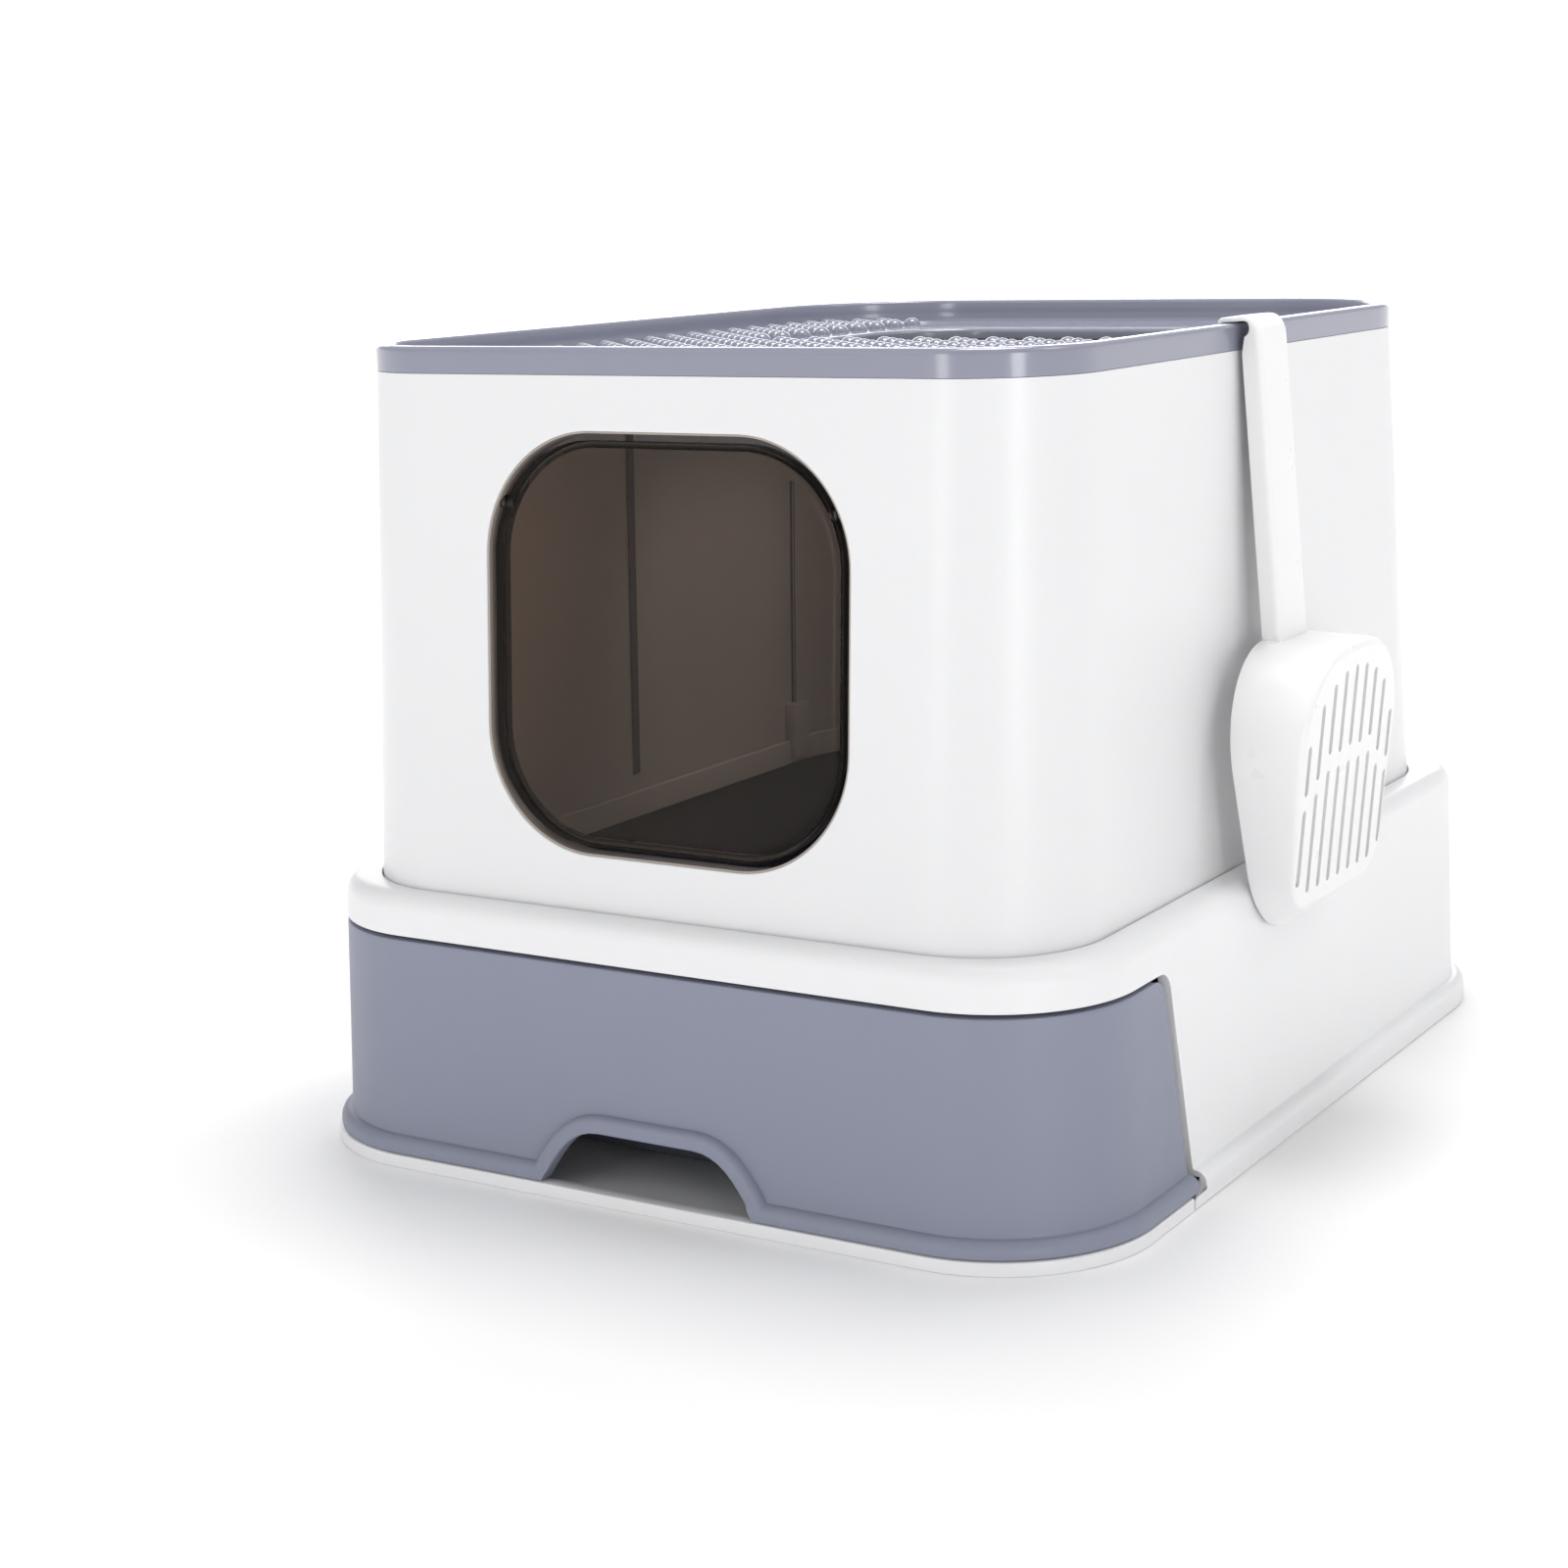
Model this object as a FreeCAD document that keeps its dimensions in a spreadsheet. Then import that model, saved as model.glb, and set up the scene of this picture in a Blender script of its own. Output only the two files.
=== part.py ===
import FreeCAD, Part

import math
import os
import re

import Sketcher
from FreeCAD import Placement, Rotation, Vector

# Hooded cat litter box: a base with a pull-out litter drawer, a hood in two half
# shells with a swinging entry flap, a top-entry lid with a bumpy tread, and a scoop
# that hangs on the lid's rim.
#
# Frame: X to the right, Y to the rear, Z up, origin at the middle of the underside.
# The drawer and the flap are at the front, towards -Y. Millimetres throughout.

SIZES = {
    # base plate and base shell
    "base_width": 410,
    "base_depth": 520,
    "base_corner": 70,
    "strip_height": 6,
    "strip_width": 8,
    "strip_end": -148.8,
    "floor_thickness": 3,
    "flange_height": 14,
    "flange_round": 5,
    "foot_width": 399,
    "foot_depth": 509,
    "foot_corner": 66,
    "ledge_width": 391,
    "ledge_depth": 501,
    "ledge_corner": 62,
    "ledge_height": 125,
    "ledge_round": 8,
    "ledge_thickness": 7.3,
    "shell_wall": 3,
    "seat_depth": 4.8,
    "seat_inset": 6,
    "skirt_bottom": 106.5,
    "skirt_wall": 3,
    # drawer
    "opening_top": 106,
    "opening_foot_y": -134,
    "opening_step_y": -147.4,
    "opening_step_height": 5.8,
    "opening_top_y": -155,
    "opening_round": 8,
    "drawer_gap": 5.5,
    "drawer_bottom": 6.5,
    "drawer_top": 104,
    "drawer_wall": 3,
    "bead_width": 409,
    "bead_depth": 519,
    "bead_corner": 69.5,
    "pan_bottom": 6.6,
    "pan_wall": 2.5,
    "pan_foot_width": 350,
    "pan_foot_depth": 436,
    "pan_foot_corner": 46,
    "pan_rim_width": 372,
    "pan_rim_depth": 460,
    "pan_rim_corner": 52,
    "pan_centre": 8,
    "pan_flange": 4,
    "notch_foot_half": 54.5,
    "notch_low_half": 46.8,
    "notch_low": 19,
    "notch_high_half": 39.5,
    "notch_top_half": 24,
    "notch_top": 32,
    "notch_bead": 7.6,
    "notch_bead_front": 258.5,
    # hood
    "hood_bottom": 120.5,
    "hood_top": 352.6,
    "hood_foot_width": 360,
    "hood_foot_depth": 476,
    "hood_foot_front_corner": 54,
    "hood_foot_rear_corner": 70,
    "hood_rim_width": 350.5,
    "hood_rim_depth": 448,
    "hood_rim_front_corner": 48,
    "hood_rim_rear_corner": 84,
    "hood_wall": 3,
    "hood_clearance": 0.6,
    "tongue_inset": 2.25,
    "tongue_wall": 1.6,
    "tongue_height": 8,
    "tongue_root": 10,
    # entry opening and its flap
    "door_centre": 239.2,
    "door_width": 182,
    "door_height": 181,
    "door_corner": 54,
    "reveal_depth": 11,
    "reveal_wall": 2.5,
    "flap_gap": 3.8,
    "flap_recess": 1,
    "flap_pane": 2.2,
    "flap_rim_depth": 7.5,
    "flap_rim_wall": 3.2,
    "pivot_height": 298,
    "pivot_radius": 2.4,
    "pivot_clearance": 0.08,
    "pivot_inner": 79,
    "pivot_outer": 92.5,
    # joint strips between the half shells
    "strip_joint_width": 6.5,
    "strip_joint_thickness": 2,
    "strip_joint_bottom": 129,
    "strip_joint_top": 338,
    # clips that steady the hood in the base
    "clip_width": 15,
    "clip_front": -166,
    "clip_rear": 157.9,
    "clip_top": 141,
    "clip_bottom": 110,
    "clip_thickness": 3.4,
    # lid
    "lid_top": 364.4,
    "lid_round": 1.6,
    "lid_wall": 1.9,
    "lid_rim_width": 6.2,
    "tread_height": 352,
    "tread_thickness": 2.5,
    "hatch_centre": 84,
    "hatch_width": 190,
    "hatch_depth": 152,
    "hatch_corner": 46,
    "hatch_collar": 4,
    "bump_pitch": 19.5,
    "bump_radius": 4.7,
    "bump_front": -198,
    "bump_side_limit": 156,
    "bump_rear_limit": 190,
    # scoop
    "scoop_offset": -21,
    "scoop_lean": 4.7,
    "scoop_face": 176.9,
    "scoop_top": 363,
    "handle_width": 32,
    "handle_thickness": 9.5,
    "handle_round": 4,
    "handle_wall": 2.2,
    "handle_length": 138.5,
    "hook_rise": 2.3,
    "hook_wall": 2.2,
    "hook_reach": 10.9,
    "hook_drop": 7,
    "bowl_start": 137,
    "bowl_length": 129,
    "bowl_width": 119.6,
    "bowl_tip_width": 104,
    "bowl_top_round": 45,
    "bowl_tip_round": 38,
    "bowl_depth": 39.2,
    "bowl_back_width": 114,
    "bowl_back_tip_width": 107,
    "bowl_back_length": 113,
    "bowl_back_round": 42,
    "bowl_back_tip_round": 16,
    "bowl_slope": 9.7,
    "bowl_wall": 2,
    "bowl_draft": 4.5,
    "slot_count": 9,
    "slot_pitch": 12.5,
    "slot_width": 4,
}

document = FreeCAD.newDocument("litter_box")
sheet = document.addObject("Spreadsheet::Sheet", "Sizes")
for row, (alias, value) in enumerate(SIZES.items(), start=1):
    sheet.set("A%d" % row, alias.replace("_", " "))
    sheet.set("B%d" % row, str(value))
    sheet.setAlias("B%d" % row, alias)
document.recompute()


# ---------------------------------------------------------------- expressions
def bound(text):
    """The expression text with each size name pointing at its cell in the sheet."""
    return re.sub(r"[a-z_]+", lambda word: "Sizes." + word[0] if word[0] in SIZES else word[0],
                  str(text))


gauge = document.addObject("App::FeaturePython", "Gauge")
gauge.addProperty("App::PropertyFloat", "Reading")


def value(text):
    """The number that an expression in the sheet's names gives now."""
    gauge.setExpression("Reading", bound(text))
    gauge.recompute()
    return gauge.Reading


def between(low, high, low_height, high_height, height):
    """A size that runs straight from low to high, taken at a height in between."""
    share = f"(({height}) - ({low_height})) / (({high_height}) - ({low_height}))"
    return f"({low}) + (({high}) - ({low})) * {share}"


# ------------------------------------------------------------- sketch helpers
def new_body(label):
    body = document.addObject("PartDesign::Body", label)
    body.Label = label
    return body


def plane(body, role):
    return next(item for item in body.Origin.OriginFeatures if item.Role == role)


def new_sketch(body, name, role="XY_Plane", offset="0"):
    """A sketch on one of the body's own planes, moved along that plane's normal."""
    sketch = body.newObject("Sketcher::SketchObject", name)
    sketch.AttachmentSupport = [(plane(body, role), "")]
    sketch.MapMode = "FlatFace"
    sketch.setExpression("AttachmentOffset.Base.z", bound(offset))
    return sketch


def size_constraint(sketch, kind, first, second, text):
    """A horizontal or vertical distance from first to second, each (geometry, point)."""
    if value(text) < 0:
        first, second, text = second, first, f"-({text})"
    index = sketch.addConstraint(Sketcher.Constraint(kind, *first, *second, value(text)))
    sketch.setExpression("Constraints[%d]" % index, bound(text))


ORIGIN = (-1, 1)


def add_outline(sketch, width, depth, front, rear, centre="0"):
    """A rounded rectangle: straight sides, one corner radius in front and one behind."""
    half_x = value(width) / 2
    half_y = value(depth) / 2
    middle = value(centre)
    radii = [value(front), value(front), value(rear), value(rear)]
    corners = [(-1, -1), (1, -1), (1, 1), (-1, 1)]
    starts = [180, 270, 0, 90]
    centres = [Vector(sx * (half_x - r), middle + sy * (half_y - r), 0)
               for (sx, sy), r in zip(corners, radii)]
    arcs = []
    for point, radius, start in zip(centres, radii, starts):
        circle = Part.Circle(point, Vector(0, 0, 1), radius)
        angles = math.radians(start), math.radians(start + 90)
        arcs.append(sketch.addGeometry(Part.ArcOfCircle(circle, *angles)))
    lines = []
    for index in range(4):
        here = sketch.getPoint(arcs[index], 2)
        there = sketch.getPoint(arcs[(index + 1) % 4], 1)
        lines.append(sketch.addGeometry(Part.LineSegment(here, there)))
    for index in range(4):
        following = arcs[(index + 1) % 4]
        sketch.addConstraint(Sketcher.Constraint("Tangent", arcs[index], 2, lines[index], 1))
        sketch.addConstraint(Sketcher.Constraint("Tangent", lines[index], 2, following, 1))
        direction = "Horizontal" if index % 2 == 0 else "Vertical"
        sketch.addConstraint(Sketcher.Constraint(direction, lines[index]))
    for arc, radius in zip(arcs, (front, front, rear, rear)):
        index = sketch.addConstraint(Sketcher.Constraint("Radius", arc, value(radius)))
        sketch.setExpression("Constraints[%d]" % index, bound(radius))
    size_constraint(sketch, "DistanceY", ORIGIN, (lines[0], 1), f"({centre}) - ({depth}) / 2")
    size_constraint(sketch, "DistanceX", ORIGIN, (lines[1], 1), f"({width}) / 2")
    size_constraint(sketch, "DistanceY", ORIGIN, (lines[2], 1), f"({centre}) + ({depth}) / 2")
    size_constraint(sketch, "DistanceX", ORIGIN, (lines[3], 1), f"-({width}) / 2")


def outline(body, name, height, width, depth, front, rear=None, centre="0"):
    """A sketch at a height that holds one rounded rectangle."""
    sketch = new_sketch(body, name, "XY_Plane", height)
    add_outline(sketch, width, depth, front, rear or front, centre)
    return sketch


def add_polygon(sketch, points):
    """Straight lines through points, each a pair of expressions."""
    places = [Vector(value(x), value(y), 0) for x, y in points]
    lines = [sketch.addGeometry(Part.LineSegment(here, there))
             for here, there in zip(places, places[1:] + places[:1])]
    for index, (x, y) in enumerate(points):
        following = (lines[(index + 1) % len(lines)], 1)
        sketch.addConstraint(Sketcher.Constraint("Coincident", lines[index], 2, *following))
        size_constraint(sketch, "DistanceX", ORIGIN, (lines[index], 1), x)
        size_constraint(sketch, "DistanceY", ORIGIN, (lines[index], 1), y)


# ------------------------------------------------------------ feature helpers
def loft(body, kind, name, lower, upper):
    feature = body.newObject("PartDesign::" + kind, name)
    feature.Profile = lower
    feature.Sections = [upper]
    feature.Ruled = True
    for sketch in (lower, upper):
        sketch.Visibility = False
    document.recompute()
    return feature


def extrude(body, kind, name, sketch, length, backwards=False, both_ways=False):
    """A Pad or a Pocket of a sketch. A Pocket runs against the sketch's normal."""
    feature = body.newObject("PartDesign::" + kind, name)
    feature.Profile = sketch
    feature.setExpression("Length", bound(length))
    feature.Reversed = backwards
    feature.Midplane = both_ways
    sketch.Visibility = False
    document.recompute()
    return feature


def round_edges(body, name, radius, wanted):
    """A fillet on the edges of the body's last feature that the test wanted picks."""
    base = body.Tip
    picked = ["Edge%d" % (index + 1) for index, edge in enumerate(base.Shape.Edges)
              if wanted(edge.BoundBox)]
    feature = body.newObject("PartDesign::Fillet", name)
    feature.Base = (base, picked)
    feature.setExpression("Radius", bound(radius))
    document.recompute()
    return feature


def level(height):
    """A test for edges that lie flat at one height."""
    return lambda box: abs(box.ZMin - value(height)) < 0.01 and abs(box.ZMax - value(height)) < 0.01


FAR = "400"


# --------------------------------------------------------------- base outlines
def wall_outline(body, name, height, inset="0"):
    """The base's leaning side walls at a height, moved in by inset."""
    def along(foot, ledge):
        return between(foot, ledge, "0", "ledge_height", height)
    width = f"{along('foot_width', 'ledge_width')} - 2 * ({inset})"
    depth = f"{along('foot_depth', 'ledge_depth')} - 2 * ({inset})"
    corner = f"{along('foot_corner', 'ledge_corner')} - ({inset})"
    return outline(body, name, height, width, depth, corner)


def hood_outline(body, name, height, inset="0"):
    """The hood's leaning walls at a height, moved in by inset."""
    def along(foot, rim):
        return between(foot, rim, "hood_bottom", "hood_top", height)
    width = f"{along('hood_foot_width', 'hood_rim_width')} - 2 * ({inset})"
    depth = f"{along('hood_foot_depth', 'hood_rim_depth')} - 2 * ({inset})"
    front = f"{along('hood_foot_front_corner', 'hood_rim_front_corner')} - ({inset})"
    rear = f"{along('hood_foot_rear_corner', 'hood_rim_rear_corner')} - ({inset})"
    return outline(body, name, height, width, depth, front, rear)


def rim_outline(body, name, height, inset="0"):
    """The upright rim of hood and lid at any height, moved in by inset."""
    return outline(body, name, height, f"hood_rim_width - 2 * ({inset})",
                   f"hood_rim_depth - 2 * ({inset})", f"hood_rim_front_corner - ({inset})",
                   f"hood_rim_rear_corner - ({inset})")


# ------------------------------------------------------------------ base plate
def build_base_plate():
    """The floor under the drawer, with a low step that shows along the front."""
    body = new_body("base_plate")
    step = outline(body, "step_outline", "0", "base_width", "base_depth", "base_corner")
    extrude(body, "Pad", "step", step, "strip_height")
    behind = new_sketch(body, "behind_step")
    add_polygon(behind, [("-300", "strip_end"), ("300", "strip_end"), ("300", "300"),
                         ("-300", "300")])
    extrude(body, "Pocket", "step_end", behind, FAR, both_ways=True)
    recess = outline(body, "recess_outline", "floor_thickness", "base_width - 2 * strip_width",
                     "base_depth - 2 * strip_width", "base_corner - strip_width")
    extrude(body, "Pocket", "recess", recess, "strip_height", backwards=True)
    floor = outline(body, "floor_outline", "0", "foot_width - 2 * shell_wall - 1",
                    "foot_depth - 2 * shell_wall - 1", "foot_corner - shell_wall")
    extrude(body, "Pad", "floor", floor, "floor_thickness")
    return body


# ------------------------------------------------------------------ base shell
def drawer_opening(sketch, shift="0", behind=False):
    """The side view of the drawer's opening, or of all that lies behind its sloping end."""
    top = "opening_top"
    foot = f"opening_foot_y - ({shift})"
    head = f"opening_top_y - ({shift})"
    slope = "(opening_top_y - opening_foot_y) / opening_top"
    if behind:
        add_polygon(sketch, [(f"{foot} - 20 * {slope}", "-20"), ("300", "-20"),
                             ("300", top + " + 20"), (f"{head} + 20 * {slope}", top + " + 20")])
        return
    add_polygon(sketch, [("-300", "-20"), ("opening_step_y", "-20"),
                         ("opening_step_y", "opening_step_height"),
                         (f"{foot} + opening_step_height * {slope}", "opening_step_height"),
                         (f"{head} - opening_round * {slope}", f"{top} - opening_round"),
                         (f"{head} - opening_round * 0.3", f"{top} - opening_round * 0.3"),
                         (f"{head} - opening_round", top), ("-300", top)])


def build_base_shell():
    """The leaning walls and ledge that carry the hood, open in front for the drawer."""
    body = new_body("base_shell")
    flange = outline(body, "flange_outline", "0", "base_width", "base_depth", "base_corner")
    extrude(body, "Pad", "flange", flange, "flange_height")
    round_edges(body, "flange_rounding", "flange_round", level("flange_height"))
    loft(body, "AdditiveLoft", "walls", wall_outline(body, "wall_foot", "0"),
         wall_outline(body, "wall_top", "ledge_height"))
    round_edges(body, "ledge_rounding", "ledge_round", level("ledge_height"))
    hollow_flange = outline(body, "flange_hollow_outline", "0", "base_width - 2 * shell_wall",
                            "base_depth - 2 * shell_wall", "base_corner - shell_wall")
    extrude(body, "Pocket", "flange_hollow", hollow_flange, "flange_height - shell_wall",
            backwards=True)
    ceiling = "ledge_height - ledge_thickness"
    loft(body, "SubtractiveLoft", "cavity", wall_outline(body, "cavity_foot", "0", "shell_wall"),
         wall_outline(body, "cavity_top", ceiling, "shell_wall"))
    throat = hood_outline(body, "throat_outline", "hood_bottom", "seat_inset")
    extrude(body, "Pocket", "throat", throat, "60", both_ways=True)
    seat = hood_outline(body, "seat_outline", "hood_bottom", "-hood_clearance")
    seat.setExpression("AttachmentOffset.Base.z", bound("ledge_height - seat_depth"))
    extrude(body, "Pocket", "seat", seat, "20", backwards=True)
    skirt = hood_outline(body, "skirt_outline", "hood_bottom", "seat_inset - skirt_wall")
    skirt.setExpression("AttachmentOffset.Base.z", bound("skirt_bottom"))
    add_outline(skirt, "hood_foot_width - 2 * seat_inset", "hood_foot_depth - 2 * seat_inset",
                "hood_foot_front_corner - seat_inset", "hood_foot_rear_corner - seat_inset")
    extrude(body, "Pad", "skirt", skirt, f"{ceiling} - skirt_bottom + 0.5")
    opening = new_sketch(body, "drawer_opening_side", "YZ_Plane")
    drawer_opening(opening)
    extrude(body, "Pocket", "drawer_opening", opening, "2 * " + FAR, both_ways=True)
    return body


# ---------------------------------------------------------------------- drawer
def notch_points(grow, foot, first=0):
    """The finger notch in front view: a low arch whose sides bend from steep to level.

    The bends are a cubic curve from foot to top, moved outwards by grow.
    """
    controls = [(f"notch_foot_half + {grow}", "drawer_bottom"),
                (f"notch_low_half + 0.95 * {grow}", f"notch_low + 0.4 * {grow}"),
                (f"notch_high_half + 0.6 * {grow}", f"notch_top + {grow}"),
                (f"notch_top_half + 0.2 * {grow}", f"notch_top + {grow}")]
    right = [(f"notch_foot_half + {grow}", foot)]
    steps = 8
    for step in range(first, steps + 1):
        t = step / steps
        shares = ((1 - t) ** 3, 3 * (1 - t) ** 2 * t, 3 * (1 - t) * t * t, t ** 3)
        right.append(tuple(" + ".join(f"{share:.6f} * ({point[axis]})"
                                      for share, point in zip(shares, controls))
                           for axis in (0, 1)))
    return [(f"-({x})", y) for x, y in right] + right[::-1]


def build_drawer_front():
    """The drawer's front: it wraps both corners and has a raised bead and finger notch."""
    body = new_body("drawer_front")
    loft(body, "AdditiveLoft", "fascia", wall_outline(body, "fascia_foot", "drawer_bottom"),
         wall_outline(body, "fascia_top", "drawer_top"))
    bead = outline(body, "bead_outline", "drawer_bottom", "bead_width", "bead_depth", "bead_corner")
    extrude(body, "Pad", "bead", bead, "flange_height - drawer_bottom")
    round_edges(body, "bead_rounding", "flange_round",
                lambda box: level("flange_height")(box)
                and (max(-box.XMin, box.XMax) > value("bead_width / 2 - 1")
                     or max(-box.YMin, box.YMax) > value("bead_depth / 2 - 1")))
    arch = new_sketch(body, "arch_front", "XZ_Plane", "notch_bead_front")
    add_polygon(arch, notch_points("notch_bead", "drawer_bottom + 1.5", 2))
    extrude(body, "Pad", "arch", arch, "8", backwards=True)
    hollow_bead = outline(body, "bead_hollow_outline", "drawer_bottom",
                          "bead_width - 2 * drawer_wall", "bead_depth - 2 * drawer_wall",
                          "bead_corner - drawer_wall")
    extrude(body, "Pocket", "bead_hollow", hollow_bead,
            "flange_height - drawer_bottom - drawer_wall", backwards=True)
    loft(body, "SubtractiveLoft", "fascia_hollow",
         wall_outline(body, "hollow_foot", "drawer_bottom", "drawer_wall"),
         wall_outline(body, "hollow_top", "drawer_top - drawer_wall", "drawer_wall"))
    web = outline(body, "web_outline", "drawer_top", "pan_rim_width + 2 * pan_flange",
                  "pan_rim_depth + 2 * pan_flange", "pan_rim_corner + pan_flange",
                  centre="pan_centre")
    extrude(body, "Pocket", "web_opening", web, "10")
    behind = new_sketch(body, "behind_front", "YZ_Plane")
    drawer_opening(behind, "drawer_gap", behind=True)
    extrude(body, "Pocket", "front_end", behind, "2 * " + FAR, both_ways=True)
    notch = new_sketch(body, "notch_front", "XZ_Plane", "notch_bead_front + 20")
    add_polygon(notch, notch_points("0", "-5"))
    extrude(body, "Pocket", "notch", notch, "60")
    return body


def pan_outline(body, name, height, inset="0"):
    def along(foot, rim):
        return between(foot, rim, "pan_bottom", "drawer_top", height)
    return outline(body, name, height,
                   f"{along('pan_foot_width', 'pan_rim_width')} - 2 * ({inset})",
                   f"{along('pan_foot_depth', 'pan_rim_depth')} - 2 * ({inset})",
                   f"{along('pan_foot_corner', 'pan_rim_corner')} - ({inset})",
                   centre="pan_centre")


def build_litter_pan():
    """The open pan that holds the litter, with an outward flange along its rim."""
    body = new_body("litter_pan")
    loft(body, "AdditiveLoft", "pan", pan_outline(body, "pan_foot", "pan_bottom"),
         pan_outline(body, "pan_top", "drawer_top"))
    rim = outline(body, "rim_flange_outline", "drawer_top - pan_wall",
                  "pan_rim_width + 2 * pan_flange", "pan_rim_depth + 2 * pan_flange",
                  "pan_rim_corner + pan_flange", centre="pan_centre")
    extrude(body, "Pad", "rim_flange", rim, "pan_wall")
    loft(body, "SubtractiveLoft", "pan_hollow",
         pan_outline(body, "pan_hollow_foot", "pan_bottom + pan_wall", "pan_wall"),
         pan_outline(body, "pan_hollow_top", "drawer_top", "pan_wall"))
    return body


# ------------------------------------------------------------------------ hood
HOOD_LEAN = "atan((hood_foot_depth - hood_rim_depth) / 2 / (hood_top - hood_bottom))"


def front_face(height):
    """How far in front of the origin the hood's front wall is at a height."""
    return f"({between('hood_foot_depth', 'hood_rim_depth', 'hood_bottom', 'hood_top', height)}) / 2"


def door_sketch(body, name, offset):
    """A sketch on the leaning front wall, centred on the entry, offset outwards."""
    sketch = new_sketch(body, name, "XZ_Plane")
    sketch.AttachmentOffset = Placement(Vector(0, 0, 0), Rotation(Vector(1, 0, 0), -1))
    sketch.setExpression("AttachmentOffset.Base.y",
                         bound(f"door_centre + ({offset}) * sin({HOOD_LEAN})"))
    sketch.setExpression("AttachmentOffset.Base.z",
                         bound(f"{front_face('door_centre')} + ({offset}) * cos({HOOD_LEAN})"))
    sketch.setExpression("AttachmentOffset.Rotation.Angle", bound(f"-{HOOD_LEAN}"))
    return sketch


PIVOT_DEPTH = "(flap_recess + 0.5 * flap_rim_depth)"
PIVOT_FRONT = f"({front_face('pivot_height')}) - {PIVOT_DEPTH} / cos({HOOD_LEAN})"


def add_pivot_circle(sketch, radius):
    """A circle round the flap's axis, in a sketch seen from the side."""
    place = Vector(-value(PIVOT_FRONT), value("pivot_height"), 0)
    sketch.addGeometry(Part.Circle(place, Vector(0, 0, 1), value(radius)))
    size_constraint(sketch, "DistanceX", ORIGIN, (0, 3), f"-({PIVOT_FRONT})")
    size_constraint(sketch, "DistanceY", ORIGIN, (0, 3), "pivot_height")
    index = sketch.addConstraint(Sketcher.Constraint("Radius", 0, value(radius)))
    sketch.setExpression("Constraints[%d]" % index, bound(radius))


def build_hood_half(label, front):
    """One half of the hood's walls, from the base's ledge up into the lid's rim."""
    body = new_body(label)
    loft(body, "AdditiveLoft", "walls", hood_outline(body, "wall_foot", "hood_bottom"),
         hood_outline(body, "wall_top", "hood_top"))
    if front:
        ring = door_sketch(body, "reveal_outline", "-reveal_depth")
    hollow_foot = hood_outline(body, "hollow_foot", "hood_bottom", "hood_wall")
    loft(body, "SubtractiveLoft", "hollow", hollow_foot,
         hood_outline(body, "hollow_top", "hood_top", "hood_wall"))
    root = rim_outline(body, "tongue_root_outline", "hood_top - tongue_root", "hood_wall - 1.2")
    add_outline(root, "hood_rim_width - 2 * (tongue_inset + tongue_wall)",
                "hood_rim_depth - 2 * (tongue_inset + tongue_wall)",
                "hood_rim_front_corner - tongue_inset - tongue_wall",
                "hood_rim_rear_corner - tongue_inset - tongue_wall")
    extrude(body, "Pad", "tongue_root_ring", root, "tongue_root")
    tongue = rim_outline(body, "tongue_outline", "hood_top", "tongue_inset")
    add_outline(tongue, "hood_rim_width - 2 * (tongue_inset + tongue_wall)",
                "hood_rim_depth - 2 * (tongue_inset + tongue_wall)",
                "hood_rim_front_corner - tongue_inset - tongue_wall",
                "hood_rim_rear_corner - tongue_inset - tongue_wall")
    extrude(body, "Pad", "tongue", tongue, "tongue_height")
    if front:
        add_outline(ring, "door_width + 2 * reveal_wall", "door_height + 2 * reveal_wall",
                    "door_corner + reveal_wall", "door_corner + reveal_wall")
        extrude(body, "Pad", "reveal", ring, "reveal_depth - 1")
        hole = door_sketch(body, "door_outline", "30")
        add_outline(hole, "door_width", "door_height", "door_corner", "door_corner")
        extrude(body, "Pocket", "door_opening", hole, "80")
        socket = new_sketch(body, "pivot_socket", "YZ_Plane")
        add_pivot_circle(socket, "pivot_radius + pivot_clearance")
        extrude(body, "Pocket", "pivot_sockets", socket, "2 * (pivot_outer + 1)", both_ways=True)
    half = new_sketch(body, "other_half")
    near, far = ("-0.15", "400") if front else ("0.15", "-400")
    add_polygon(half, [("-300", near), ("300", near), ("300", far), ("-300", far)])
    extrude(body, "Pocket", "half_cut", half, "2 * " + FAR, both_ways=True)
    return body


def build_joint_strip(label, side):
    """A flat strip inside the hood that joins the two half shells at mid depth."""
    body = new_body(label)
    sketch = new_sketch(body, "strip_side", "XZ_Plane")

    def inner(height):
        width = between("hood_foot_width", "hood_rim_width", "hood_bottom", "hood_top", height)
        return f"({width}) / 2 - hood_wall"
    low, high = "strip_joint_bottom", "strip_joint_top"
    corners = [(inner(low), low), (inner(high), high),
               (f"{inner(high)} - strip_joint_thickness", high),
               (f"{inner(low)} - strip_joint_thickness", low)]
    add_polygon(sketch, [(x if side > 0 else f"-({x})", z) for x, z in corners])
    extrude(body, "Pad", "strip", sketch, "strip_joint_width", both_ways=True)
    return body


def new_box(name, corner, size):
    box = document.addObject("Part::Box", name)
    for axis, text in zip("xyz", corner):
        box.setExpression("Placement.Base." + axis, bound(text))
    for side, text in zip(("Length", "Width", "Height"), size):
        box.setExpression(side, bound(text))
    return box


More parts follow.
